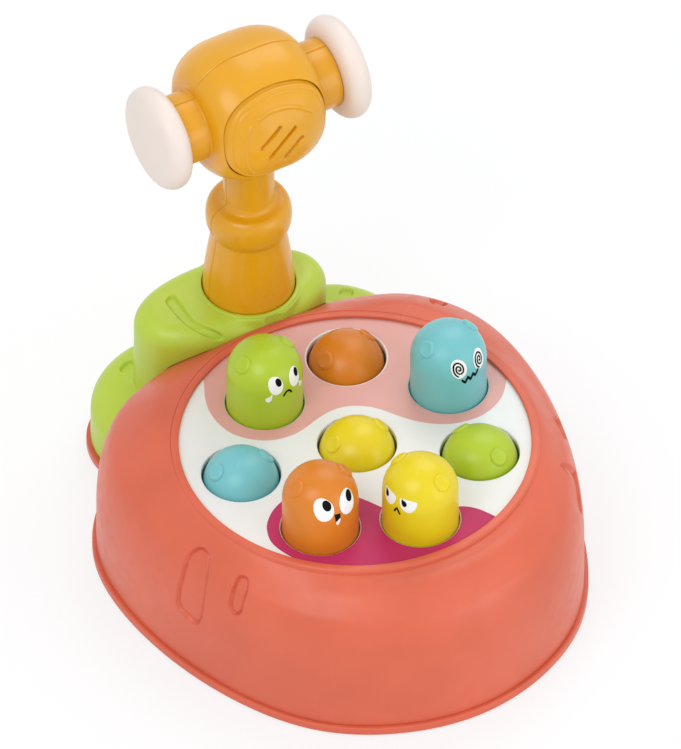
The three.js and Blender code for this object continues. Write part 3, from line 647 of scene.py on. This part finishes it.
LEAF_GROOVES = [
    [(166, 300), (171, 295), (176, 297), (190, 315.5), (200, 323), (221, 334), (220, 340),
     (207, 337), (188, 326), (180, 319), (168, 305)],
    [(119.5, 369), (124, 363), (131, 360.5), (143, 363), (153, 367.5), (151, 372.5),
     (136, 368.5), (129, 368.5), (124, 372)],
    [(340, 290), (345, 288), (353, 290), (352, 295), (345, 295.5), (340, 294)],
]
GROOVE_SPANS = [(76, 90), (20, 60), (20, 60)]
PAD_R = 25.6  # the round pad that the socket stands in
LEAF_GAP = 0.3  # between the leaf and the casing


def make_leaf():
    bottom = SHELL_BOTTOM
    pad = eased([(0, bottom), (PAD_R, bottom), (PAD_R, LEAF_TOP, 1.5), (0, LEAF_TOP)], 1.0)
    parts = [lobe(shape) for shape in LOBES] + [moved(turned(pad, 160), *SOCKET)]
    obj = raw("leaf", joined(*parts))
    mesh = obj.modifiers.new("mesh", "REMESH")
    mesh.mode = "VOXEL"
    mesh.voxel_size = 0.0009
    soft = obj.modifiers.new("soft", "SMOOTH")
    soft.factor = 0.5
    soft.iterations = 12
    settle(obj)
    points = points_of(obj)[0]
    low = points[:, 2] < bottom + 1.2
    points[low, 2] = np.maximum(points[low, 2], bottom)
    put(obj, points)
    press(obj, LEAF_GROOVES, depth=1.7, edge=1.2, trench=0.12, reach=0.55, spans=GROOVE_SPANS)
    a = around(360)
    rings = [ring_at(a, -LEAF_GAP, 0.0)]
    for q in np.linspace(0, 1, 50):
        rings.append(ring_at(a, *shoulder(q, 30.0, grow=LEAF_GAP)))
    carve(obj, raw("form", loft(rings)))
    carve(obj, raw("drum", drum(BEZEL_R + LEAF_GAP, 0, ABOVE, 240)))
    floor = LEAF_TOP - SOCKET_DEPTH
    carve(obj, raw("bore", moved(drum(SOCKET_IN + 0.6, floor, ABOVE, 144), *SOCKET)))
    under, rim = floor - 2.2, LEAF_TOP + 0.35
    tube = eased(
        [(0, under), (SOCKET_OUT, under, 0.5), (SOCKET_OUT, rim, 0.7), (SOCKET_IN, rim, 0.7),
         (SOCKET_IN, floor, 0.4), (0, floor)], 0.5)
    tube = raw("tube", moved(turned(tube, 144), *SOCKET))
    both = joined(part_of(obj), part_of(tube))
    discard(obj)
    discard(tube)
    finish_piece(raw("leaf", both), LEAF, replaces=["leaf_shell"])


make_leaf()


# ---- the base plate
def alongside(share, inset):
    """A spot along the casing's outline, moved inwards."""
    return outline(np.array([2 * math.pi * round(share * 40) / 40]), inset)[0]


def at_leaf(across, along):
    return leaf_point(np.array([float(across)]), np.array([float(along)]), 0)[0][:2]


POST_WIDE, POST_THICK, POST_FOOT, POST_OVER, POST_SOFT = 3, 1.4, 2, 3.4, 0.35  # halves first
NEAR_POST = 3.7 + POST_THICK  # from the rocker's middle to its posts
FAR_POST = {"green": -21, "blue": 20}  # where another rocker passes, one post stands farther off


def post(offset, top, turn, about):
    """A post of a rocker's pin, its upright edges eased."""
    x0, x1, y0, y1 = -POST_WIDE, POST_WIDE, offset - POST_THICK, offset + POST_THICK
    s = POST_SOFT
    loop = [(x0 + s, y0), (x1 - s, y0), (x1, y0 + s), (x1, y1 - s),
            (x1 - s, y1), (x0 + s, y1), (x0, y1 - s), (x0, y0 + s)]
    c, n = math.cos(turn), math.sin(turn)

    def ring(z, inset):
        out = []
        for x, y in loop:
            x += inset * (-1 if x > 0 else 1)
            y += inset * (-1 if y > offset else 1)
            out.append((about[0] + x * c - y * n, about[1] + x * n + y * c, z))
        return np.array(out)

    return loft([ring(POST_FOOT, 0), ring(top - s, 0), ring(top, s)])


BOSS_HOLE = [(0, 0), (3.2, 0), (3.2, 2.6), (1.8, 2.6), (1.8, 6), (0, 6)]
FOOT_HOLE_R, FOOT_HOLE_DEPTH = 8.3, 2


def make_base():
    edge = eased([(8, PLATE_BOTTOM), (-RIM_OUT, PLATE_BOTTOM), (-RIM_OUT, RIM_TOP, 0.9),
                  (1.9, RIM_TOP), (2.4, PLATE_TOP), (8, PLATE_TOP)], 0.6, 4)
    a = around(360)
    obj = raw("base_plate", loft([ring_at(a, i, z) for i, z in edge]))
    for shape in LOBES:
        carve(obj, raw("lobe", lobe_slab(shape, RIM_OUT, 1.02, 5.18)), "UNION")
    bosses = [alongside(s, 7.5) for s in (0.1, 0.27, 0.39, 0.61, 0.73, 0.9)]
    bosses += [at_leaf(sign * 49, SOCKET_REACH + 11) for sign in (-1, 1)]
    feet = [alongside(s, 20) for s in (0.14, 0.34, 0.66, 0.86)]
    feet.append(at_leaf(0, SOCKET_REACH + 12.75))
    tools = [moved(turned(BOSS_HOLE, 32), x, y) for x, y in bosses]
    tools += [moved(drum(FOOT_HOLE_R, 0, FOOT_HOLE_DEPTH, 64), x, y) for x, y in feet]
    carve(obj, raw("holes", joined(*tools)))
    parts = [part_of(obj)]
    for name, pair in PAIRS.items():
        up, down = np.array(pair["up"]), np.array(pair["down"])
        turn = math.atan2(*(up - down)[::-1])
        far = FAR_POST.get(name, -NEAR_POST)
        for offset in (math.copysign(NEAR_POST, -far), far):
            parts.append(post(offset, pair["level"] + POST_OVER, turn, (up + down) / 2))
    discard(obj)
    finish_piece(raw("base_plate", joined(*parts)), CORAL, replaces=["base_tray"])


make_base()

# ---- the deck
DECK_OUT, DECK_UNDER = 86.3, 77
TOOL_LOW, TOOL_HIGH, HOLE_STEPS = 70, 84, 112
HOLE_EDGE = 0.45


def make_deck():
    rim = [(DECK_OUT * math.cos(v), DECK_OUT * math.sin(v)) for v in around(256)]
    obj = raw("deck", prism(rim, DECK_UNDER, DECK_Z))
    hole = [(0, TOOL_LOW), (HOLE_R, TOOL_LOW), (HOLE_R, DECK_Z - 0.5),
            (HOLE_R + 0.12, DECK_Z - 0.2), (HOLE_R + HOLE_EDGE, DECK_Z + 0.01),
            (HOLE_R + HOLE_EDGE, TOOL_HIGH), (0, TOOL_HIGH)]
    tools = [moved(turned(hole, HOLE_STEPS), x, y) for (x, y), key in HOLES]
    carve(obj, raw("holes", joined(*tools)))
    finish_piece(obj, WHITE, replaces=["deck_panel"], angle=30)


# The outlines of the printed fields are four times as large, from this pixel of the photograph
PRINT_FROM, PRINT_ZOOM = (170, 300), 4
PRINT_LIMIT, PRINT_R = 85.2, 85.4  # lines end at the first, and the bezel hides the second
PRINT_LOW, PRINT_HIGH = 0.005, 0.07  # over the deck
GAP, WIDE_GAP = 0.47, 0.85  # round the holes


def print_field(name, spots, look, wide=()):
    """One printed field: an outline in the photograph, closed by the deck's edge."""
    line = on_deck([(PRINT_FROM[0] + x / PRINT_ZOOM, PRINT_FROM[1] + y / PRINT_ZOOM)
                    for x, y in spots])
    line = [tuple(p) for p in curve(line) if math.hypot(*p) < PRINT_LIMIT]
    first = math.atan2(line[0][1], line[0][0])
    last = math.atan2(line[-1][1], line[-1][0])
    while first < last:
        first += 2 * math.pi
    edge = [(PRINT_R * math.cos(t), PRINT_R * math.sin(t)) for t in np.linspace(last, first, 60)]
    obj = raw(name, prism(line[1:-1] + edge, DECK_Z + PRINT_LOW, DECK_Z + PRINT_HIGH))
    tools = []
    for (x, y), key in HOLES:
        radius = HOLE_R + (WIDE_GAP if key in wide else GAP)
        tools.append(moved(drum(radius, TOOL_LOW, TOOL_HIGH, HOLE_STEPS), x, y))
    carve(obj, raw("holes", joined(*tools)))
    finish_piece(obj, look)


make_deck()
print_field(
    "deck_print_pink",
    [(136, 320), (137, 350), (140, 390), (155, 440), (190, 490), (240, 530), (300, 552),
     (370, 562), (430, 557), (490, 540), (540, 512), (590, 475), (640, 445), (690, 428),
     (740, 423), (800, 427), (850, 440), (900, 458), (950, 475), (1000, 487), (1060, 495),
     (1120, 495), (1180, 485), (1240, 465), (1290, 432), (1325, 390), (1340, 350), (1345, 318)],
    PINK, [("orange", "down")],
)
print_field(
    "deck_print_magenta",
    [(1330, 880), (1290, 860), (1240, 838), (1200, 828), (1160, 826), (1100, 838), (1050, 848),
     (1000, 852), (940, 848), (890, 840), (850, 830), (800, 808), (760, 792), (700, 770),
     (640, 760), (580, 760), (520, 772), (470, 792), (440, 812), (410, 845), (391, 885),
     (388, 920), (403, 965), (440, 1000), (490, 1030), (540, 1050), (575, 1065)],
    MAGENTA,
)

# ---- moles
dome_turn = np.linspace(0, math.pi / 2, 40)
DOME_R, DOME_Z = MOLE_R * np.cos(dome_turn) ** 0.9, SPRING + DOME * np.sin(dome_turn)
DOME_ARC = np.concatenate([[0], np.cumsum(np.hypot(np.diff(DOME_R), np.diff(DOME_Z)))])
WHITE_UP, BLACK_UP, PRINT_SUNK = 0.09, 0.15, -0.12  # over the skin, and under it


def dome_at(v):
    """Radius and height at a length v up the dome."""
    return float(np.interp(v, DOME_ARC, DOME_R)), float(np.interp(v, DOME_ARC, DOME_Z))


def on_mole(u, v, proud):
    """A point of a raised mole's skin about its own axis, its face looking along +X. u goes
    round to the right of who looks at the face, v up from the springline."""
    if v < 0:
        r, z, slope = MOLE_R, SPRING + v, 0.0
    else:
        r, z = dome_at(v)
        (r0, z0), (r1, z1) = dome_at(v - 0.2), dome_at(v + 0.2)
        slope = math.atan2(-(r1 - r0), z1 - z0)
    turn = u / r
    r += proud * math.cos(slope)
    z += proud * math.sin(slope)
    return r * math.cos(turn), r * math.sin(turn), z


def patch(loop, proud, rings=5):
    """A thin patch on a mole's skin over a loop of (u, v) that is star-shaped."""
    loop = np.asarray(loop, float)
    middle = loop.mean(0)
    top = [[on_mole(*(middle + (p - middle) * (k / rings)), proud) for p in loop]
           for k in range(1, rings + 1)]
    under = [[on_mole(*p, PRINT_SUNK) for p in loop]]
    tips = (on_mole(*middle, proud), on_mole(*middle, PRINT_SUNK))
    return loft([np.array(r) for r in top + under], tips=tips)


STROKE_END = ((0.5, 0.12), (0.43, 0.5), (0.25, 0.87))  # shares of the width past an end, and left


def stroke(line, width, proud):
    """A stroke of even width on a mole's skin, with round ends."""
    line = np.asarray(line, float)
    ahead = np.gradient(line, axis=0)
    ahead /= np.linalg.norm(ahead, axis=1)[:, None]
    side = np.stack([-ahead[:, 1], ahead[:, 0]], 1)
    stations = [(line[0] - ahead[0] * width * past, side[0], share) for past, share in STROKE_END]
    stations += [(p, s, 1.0) for p, s in zip(line, side)]
    stations += [(line[-1] + ahead[-1] * width * past, side[-1], share)
                 for past, share in reversed(STROKE_END)]
    rings = []
    for p, s, share in stations:
        half = s * width / 2 * share
        across = (p - half, p, p + half)
        rings.append(np.array([on_mole(*q, proud) for q in across]
                              + [on_mole(*q, PRINT_SUNK) for q in reversed(across)]))
    return loft(rings)


def oval(u, v, a, b, lean=0.0):
    t = around(36)
    x, y = a * np.cos(t), b * np.sin(t)
    c, s = math.cos(lean), math.sin(lean)
    return np.stack([u + x * c + y * s, v - x * s + y * c], 1)


def spiral(u, v, a, b, turns=2.1):
    t = np.linspace(0, 1, 56)
    angle = -math.pi * 0.62 - t * turns * 2 * math.pi
    reach = (1 - t) * 0.9 + 0.1
    return np.stack([u + a * reach * np.cos(angle), v + b * reach * np.sin(angle)], 1)


def rounded(points, steps=5, du=0.0, dv=0.0):
    """A smooth loop through points, moved."""
    return np.array(curve([(u + du, v + dv) for u, v in points], steps, True))


def green_face():
    """What is white in a face, and what is black."""
    white, black = [], []
    drop = [(8.3, 2.3), (9.0, 1.2), (10.9, 0.2), (11.5, -1.0), (10.9, -2.2), (9.6, -2.4),
            (8.6, -1.5), (8.3, 0.0), (8.0, 1.6)]
    for sign in (-1, 1):
        white.append(patch(oval(sign * 5.6, 6.5, 3.7, 4.9, 0.08), WHITE_UP))
        black.append(patch(oval(sign * 5.6 + 1.7, 8.0, 1.5, 2.2), BLACK_UP))
        white.append(patch(rounded([(sign * u, v) for u, v in drop]), WHITE_UP))
    mouth = [(-2.2, -0.3), (-1.2, 1.2), (0.2, 1.8), (1.4, 1.1), (2.2, -0.3)]
    black.append(stroke(curve(mouth), 1.0, BLACK_UP))
    return white, black


def blue_face():
    white, black = [], []
    for u in (-6.1, 6.1):
        white.append(patch(oval(u, 6.9, 3.9, 5.1, 0.1), WHITE_UP))
        black.append(stroke(spiral(u, 6.9, 3.0, 4.1), 0.82, BLACK_UP))
    zig = [(-5.3, 0.2), (-3.9, -1.9), (-2.3, 1.8), (-1.0, -1.1), (0.7, 2.3), (1.9, -0.1),
           (3.9, 2.6)]
    dense = [np.array(p) + (np.array(q) - np.array(p)) * t
             for p, q in zip(zig, zig[1:]) for t in (0, 0.35, 0.65)] + [np.array(zig[-1])]
    black.append(stroke(dense, 1.2, BLACK_UP))
    return white, black


def orange_face():
    white, black = [], []
    for u in (-6.5, 6.5):
        white.append(patch(oval(u, 7.7, 4.9, 6.1, 0.1), WHITE_UP))
        black.append(patch(oval(u + 1.9, 9.9, 2.1, 2.75), BLACK_UP))
    beak = [(-1.9, 4.6), (-0.3, 4.5), (1.3, 4.3), (1.25, 3.0), (1.1, 1.7), (0.2, 1.2),
            (-0.6, 0.5), (-1.5, 0.1), (-1.7, 2.3)]
    black.append(patch(beak, WHITE_UP))
    tooth = [(1.1, 1.5), (0.9, -0.3), (0.1, -2.0), (-0.7, -2.3), (-1.2, -0.9), (-1.0, 0.1),
             (-0.3, 0.6), (0.4, 1.3)]
    white.append(patch(rounded(tooth, 3), WHITE_UP))
    return white, black


def yellow_face():
    white, black = [], []
    lid = [(-4.4, 0.4), (-2.5, 0.7), (0, 0.8), (2.5, 0.6), (4.0, 0.2), (4.4, -1.0), (4.0, -3.2),
           (2.6, -5.2), (0.6, -6.0), (-1.6, -5.4), (-3.4, -3.4), (-4.4, -1.2)]
    pupil = [(-3.6, 0.3), (-2.6, 0.1), (-1.2, -0.6), (-0.5, -1.9), (-1.1, -3.0), (-2.3, -3.0),
             (-3.1, -1.9), (-3.5, -0.6)]
    for u in (-5.7, 5.5):
        white.append(patch(rounded(lid, 3, u, 7.1), WHITE_UP))
        black.append(patch(rounded(pupil, 4, u, 7.1), BLACK_UP))
    zig = [(-1.3, -1.0), (-0.6, 0.5), (0.1, 1.7), (0.8, 0.4), (1.7, -1.4)]
    black.append(stroke(zig, 1.0, BLACK_UP))
    return white, black


# Each colour's face, and the degrees that the lowered mole's is turned out of the player's sight
FACES = {"green": (green_face, 16), "blue": (blue_face, -6), "orange": (orange_face, -30),
         "yellow": (yellow_face, -8)}
STEM_R, CAP_IN, FLANGE_R, FLANGE_LOW, FLANGE_HIGH = 3.6, 16.3, 19.7, 74.7, 76.7
EAR = [(0, -1.6), (4.2, -1.6, 0.3), (4.7, 0.3, 0.9), (3.7, 1.6, 1.3), (2.4, 1.4, 1.0), (0, 1.1)]
EAR_LEAN = 0.82  # radians from straight up, seen from the dome's middle


def mole_cap(foot):
    """A raised mole about its axis, with its stem down to a height and its ears."""
    inner_top = SPRING + DOME - 2
    profile = eased(
        [(0, foot), (STEM_R, foot, 0.5), (STEM_R, inner_top, 0.5), (8, inner_top - 1.5),
         (13.4, SPRING + 10), (CAP_IN, SPRING), (CAP_IN, FLANGE_LOW, 0.3),
         (FLANGE_R, FLANGE_LOW, 0.3), (FLANGE_R, FLANGE_HIGH, 0.3), (MOLE_R, FLANGE_HIGH, 0.3),
         (MOLE_R, 80)], 0.4, 3)
    profile += [(MOLE_R, 86), (MOLE_R, 93)] + list(zip(DOME_R, DOME_Z))[:-1]
    parts = [turned(profile + [(0, SPRING + DOME)], 120)]
    verts, faces = turned(eased(EAR, 0.8), 56)
    for side in (-1, 1):
        c, s = math.cos(side * EAR_LEAN), math.sin(side * EAR_LEAN)
        parts.append(([(x, (z + DOME) * s + y * c, SPRING + (z + DOME) * c - y * s)
                       for x, y, z in verts], faces))
    return joined(*parts)


def make_mole(colour, place):
    pair = PAIRS[colour]
    x, y = pair[place]
    raised = place == "up"
    heading = math.radians(pair["faces"][0 if raised else 1])
    dz = 0.0 if raised else -TRAVEL
    cap = mole_cap(pair["level"] + TRAVEL / 2 + ROCKER_HALF + 0.3)
    state = "raised" if raised else "lowered"
    name = f"mole_{colour}_{state}"
    body = f"{colour}_{state}_mole"
    finish_piece(raw("cap_" + name, spun(cap, heading, x, y, dz)), MOLE[colour], body, [name],
                 angle=50)
    face, twist = FACES[colour]
    facing = heading if raised else heading + math.radians(twist)
    for tag, look, art in zip(("white", "black"), (PRINT_WHITE, PRINT_BLACK), face()):
        obj = raw(f"face_{tag}_{colour}_{place}", spun(joined(*art), facing, x, y, dz))
        finish_piece(obj, look, body, angle=60)


for colour in PAIRS:
    for place in ("up", "down"):
        make_mole(colour, place)


# ---- the hammer
def hammer_at(points):
    """Points about the hammer's axis, heights from the leaf's top, in the part's frame."""
    return np.asarray(points, float) + np.array([SOCKET[0], SOCKET[1], LEAF_TOP])


def place_hammer(part):
    verts, faces = part
    return [tuple(p) for p in hammer_at(verts)], faces


SEAM_STEPS = [0, 0.12, 0.3, 0.55, 0.9, 1.4]
SEAM_DEPTH, SEAM_WIDE, SEAM_GAP = 0.42, 0.75, 0.06
AXIS_R, LEAST_R = 3.0, 4  # the innermost ring, and the least radius that sets the angles


def half_angles(r, steps):
    """Angles over half a turn, close together at both ends where the seam is."""
    ends = [d / r for d in SEAM_STEPS]
    middle = np.linspace(ends[-1], math.pi - ends[-1], steps)[1:-1]
    return np.array(ends + list(middle) + [math.pi - e for e in reversed(ends)])


def half_turned(profile, side, along_x=False, steps=56):
    """Half of a turned solid, its edges at the split eased into a shallow seam. The innermost
    rings stand off from the split, so that no face there is without area."""
    rings = []
    for r, z in profile:
        r = max(r, AXIS_R)
        spread = max(r, LEAST_R)
        t = half_angles(spread, steps)
        from_edge = np.minimum(t, math.pi - t) * spread
        rr = r - SEAM_DEPTH * (1 - ease(from_edge / SEAM_WIDE)) * min(1, r / LEAST_R)
        across = rr * np.cos(t)
        out = side * np.maximum(rr * np.sin(t), SEAM_GAP if r > AXIS_R else 0.5)
        level = np.full(len(t), z)
        rings.append(np.stack([level, out, HEAD_Z + across] if along_x else [across, out, level],
                              1))
    return loft(rings)


def screw_tools(places):
    """Holes for screws from the back, at places across and up."""
    tools = []
    for x, z in places:
        verts, faces = drum(3.2, 6.1, 40, 40)
        tools.append(([(x + px, pz, z + py) for px, py, pz in verts], faces))
    return place_hammer(joined(*tools))


NECK_R, HANDLE_FOOT, HANDLE_TOP = 12.3, -43.7, 102.5
HANDLE = (
    [(0, HANDLE_FOOT)]
    + eased([(0, HANDLE_FOOT), (20.6, HANDLE_FOOT, 0.8), (21.1, -43.0)], 0.8)[1:]
    + [(21.35, -34), (21.6, -23), (21.85, -11)]
    + curve([(22.1, 0), (21.75, 6), (21.1, 13), (20.2, 20), (19.2, 27), (18.45, 32)], 4)
    + eased([(18.15, 35.2), (17.9, 37.1, 0.6), (18.4, 38.0, 0.8), (19.7, 40.3, 1.5),
             (20.6, 43.7, 3), (20.7, 50.0, 4), (19.5, 54.0, 2), (17.5, 56.0, 1.2),
             (15.5, 56.3, 0.8), (13.6, 56.9, 0.9), (12.5, 59.0, 1.2), (NECK_R, 62)], 0.6)
    + [(NECK_R, z) for z in (70, 78, 86, 94, 100, HANDLE_TOP)] + [(0, HANDLE_TOP)]
)
for side, tag in ((-1, "front"), (1, "back")):
    obj = raw("grip_" + tag, place_hammer(half_turned(HANDLE, side)))
    if side > 0:
        carve(obj, raw("holes", screw_tools([(0, -22), (0, 47.1)])))
    finish_piece(obj, HAMMER, "hammer", ["handle_" + tag], angle=45)

STRIKER_Z, STRIKER_ROUND, STRIKER_GAP = 49, 6.5, 0.3
NECK_END = STRIKER_Z - STRIKER_ROUND - STRIKER_GAP
BARREL_R, BARREL_FLAT, BARREL_NECK = 34.9, 6, 17.5
CROWN_R, CROWN, CROWN_LONG = 18.6, 16.3, 24  # where the crown starts, its rise and its length
crown = [(CROWN_R + CROWN * math.cos(t), BARREL_FLAT + CROWN_LONG * math.sin(t))
         for t in np.linspace(0, math.pi / 2, 34)]
neck = eased([(19.0, 29.95), (BARREL_NECK, 30.1, 0.8), (BARREL_NECK, NECK_END, 0.4),
              (0, NECK_END)], 0.5)
half_barrel = [(BARREL_R, 0), (BARREL_R, 3)] + crown[:-1] + neck
BARREL = [(r, -x) for r, x in reversed(half_barrel[1:])] + half_barrel

BADGE_WIDE, BADGE_HIGH, BADGE_POWER, BADGE_LIFT = 27.4, 24.4, 2.5, 4.0
BADGE_GROW, BADGE_GAP, POCKET_LOW, POCKET_HIGH = 0.6, 0.25, 16.5, 42
# Lines of the badge's face, four times as large, from this pixel of the photograph
BADGE_FROM, BADGE_ZOOM = (110, 10), 4
BADGE_SLOTS = [[(612, 556), (682, 472)], [(645, 593), (742, 472)], [(702, 592), (770, 510)]]
BADGE_RIDGE = [(598, 440), (640, 410), (700, 392), (750, 390), (806, 406)]
BADGE_STEP = [(566, 470), (553, 500), (546, 540), (545, 590), (553, 630), (575, 655)]


def badge_loop(margin=0.0):
    """The badge's outline about the barrel's axis, as [along, up]."""
    cx, cy = bent(around(240), BADGE_POWER)
    return np.stack([(BADGE_WIDE + margin) * cx, (BADGE_HIGH + margin) * cy + BADGE_LIFT], 1)


def badge_face(spots, fall):
    """The badge's face over spots along and up, at a distance fall from its edge."""
    past = np.clip((np.abs(spots[:, 0]) - BARREL_FLAT) / (CROWN_LONG + BADGE_GROW), 0, 1)
    reach = CROWN_R + (CROWN + BADGE_GROW) * np.sqrt(1 - past ** 2)
    out = np.sqrt(np.maximum(reach ** 2 - spots[:, 1] ** 2, 1))
    seen = hammer_at(np.stack([spots[:, 0], -out, HEAD_Z + spots[:, 1]], 1))
    view = (picture(seen) - BADGE_FROM) * BADGE_ZOOM

    def far(line):
        return line_far(view, line) / (BADGE_ZOOM * SCALE)

    lift = np.zeros(len(spots))
    for slot in BADGE_SLOTS:
        lift -= 2.0 * ease(1 - (far(slot) - 0.6) / 0.35)
    lift += 1.0 * ease(1 - far(curve(BADGE_RIDGE, 5)) / 1.2)
    lift += 0.65 * ease(1 - far(curve(BADGE_STEP, 5)) / 1.0)
    lift -= 0.4 * ease(1 - np.abs(fall - 2.4) / 0.5)  # a fine groove beside the edge
    lift -= 1.4 * ease(1 - fall / 1.5) ** 2  # the edge itself
    share = 1 + lift / reach
    return np.stack([spots[:, 0], out * share, spots[:, 1] * share], 1)


def make_badge(side, tag):
    loop = badge_loop()
    middle = np.array([0.0, BADGE_LIFT])
    rings = []
    for q in np.concatenate([np.linspace(0.02, 0.88, 64), np.linspace(0.89, 1.0, 16)]):
        rings.append(badge_face(middle + (loop - middle) * q, np.full(len(loop), (1 - q) * 25.5)))
    low = np.minimum(CROWN_R, rings[-1][:, 1] - 0.1)
    rings.append(np.stack([loop[:, 0], low, loop[:, 1]], 1))
    flip = np.array([1, side, -side])
    obj = raw("badge_" + tag, place_hammer(loft([r * flip + (0, 0, HEAD_Z) for r in rings])))
    finish_piece(obj, HAMMER, "hammer", ["head_badge_" + tag], angle=50)


for side, tag in ((-1, "front"), (1, "back")):
    obj = raw("barrel_" + tag, place_hammer(half_turned(BARREL, side, True, 72)))
    loop = badge_loop(BADGE_GAP)
    n = len(loop)
    verts = [(x, side * y, HEAD_Z - side * z) for y in (POCKET_LOW, POCKET_HIGH) for x, z in loop]
    faces = [tuple(range(n)), tuple(range(n, 2 * n))] + walls(n)
    carve(obj, raw("pocket", place_hammer((verts, faces))))
    if side > 0:
        carve(obj, raw("holes", screw_tools([(-16, HEAD_Z), (16, HEAD_Z)])))
    finish_piece(obj, HAMMER, "hammer", ["head_" + tag], angle=45)
    make_badge(side, tag)

for end, tag in ((-1, "left"), (1, "right")):
    rim = [(19.5 + STRIKER_ROUND * math.cos(t), STRIKER_Z + STRIKER_ROUND * math.sin(t))
           for t in np.linspace(-0.5 * math.pi, 0.36 * math.pi, 20)]
    crown = [(r, 55.5 + 1.4 * (1 - (r / 23) ** 2) - 0.25) for r in (20, 17, 14, 11, 8, 5, 2.5)]
    peg = eased([(0, 31), (8, 31, 0.4), (8, 42.5, 0.3), (15, 42.5)], 0.4)[:-1]
    verts, faces = turned(peg + rim + crown + [(0, 56.7)], 128)
    verts = [(end * pz, py, HEAD_Z + px) for px, py, pz in verts]
    obj = raw("striker_disc_" + tag, place_hammer((verts, faces)))
    finish_piece(obj, STRIKER, "hammer", ["striker_" + tag], angle=40)

# ---- carried-over CAD nodes
for name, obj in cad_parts.items():
    if "screw" in name or "pin" in name:
        look = STEEL
    elif "rubber" in name:
        look = RUBBER
    elif name.startswith("rocker") or name == "guide_frame":
        look = INNER
    else:
        continue
    for spot in obj.material_slots:
        spot.material = look


# ---- stage, light and camera
def white_floor():
    """A floor that keeps the shadow and is white to the camera."""
    mat, tree, shader = new_material("floor")
    filled(shader, {"Base Color": (0.9, 0.9, 0.9, 1), "Roughness": 0.6})
    glow = filled(tree.nodes.new("ShaderNodeEmission"), {"Color": (1, 1, 1, 1)})
    mix = tree.nodes.new("ShaderNodeMixShader")
    seen = any_ray(tree, "Is Camera Ray", "Is Glossy Ray")
    tree.links.new(span(tree, seen, 0, 1, 0, 0.7), mix.inputs["Fac"])
    tree.links.new(shader.outputs["BSDF"], mix.inputs[1])
    tree.links.new(glow.outputs["Emission"], mix.inputs[2])
    tree.links.new(mix.outputs["Shader"], tree.nodes["Material Output"].inputs["Surface"])
    return mat


mesh = bpy.data.meshes.new("floor")
corners = [(-4, -4, 0), (4, -4, 0), (4, 4, 0), (-4, 4, 0)]
mesh.from_pydata(corners, [], [(0, 1, 2, 3)])
floor = bpy.data.objects.new("floor", mesh)
mesh.materials.append(white_floor())
bpy.context.scene.collection.objects.link(floor)

world = bpy.data.worlds.new("studio")
bpy.context.scene.world = world
world.use_nodes = True
tree = world.node_tree
back = filled(tree.nodes["Background"], {"Color": (0.95, 0.97, 1.0, 1)})
seen = any_ray(tree, "Is Camera Ray", "Is Glossy Ray", "Is Transmission Ray")
tree.links.new(span(tree, seen, 0, 1, 0.8, 1.0), back.inputs["Strength"])


def aimed(name, data, at, look):
    """An object that looks along a direction."""
    obj = bpy.data.objects.new(name, data)
    obj.location = at
    obj.rotation_mode = "QUATERNION"
    obj.rotation_quaternion = look.to_track_quat("-Z", "Y")
    bpy.context.scene.collection.objects.link(obj)
    return obj


def lamp(name, at, size, power):
    data = bpy.data.lights.new(name, "AREA")
    data.shape, data.size, data.energy = "DISK", size, power
    aimed(name, data, at, Vector((0, 0, 0.06)) - Vector(at))


lamp("key", (-0.75, -0.4, 1.1), 0.8, 5.5)
lamp("fill", (0.7, -1.3, 0.5), 1.1, 5.0)
lamp("top", (0.6, 0.5, 1.1), 0.8, 3.5)

look = Vector((AHEAD[0] * RISE, AHEAD[1] * RISE, -SINK)).normalized()
right = Vector((ASIDE[0], ASIDE[1], 0))
upward = right.cross(look).normalized()
aim = Vector((0, SHIFT / 1000, DECK_Z / 1000)) - right * 0.006895 + upward * 0.03275
camera = bpy.data.cameras.new("camera")
camera.type = "ORTHO"
camera.sensor_fit = "VERTICAL"
camera.ortho_scale = PICTURE_HIGH / SCALE / 1000
bpy.context.scene.camera = aimed("camera", camera, aim - look * 1.2, look)
bpy.context.scene.view_settings.view_transform = "Standard"
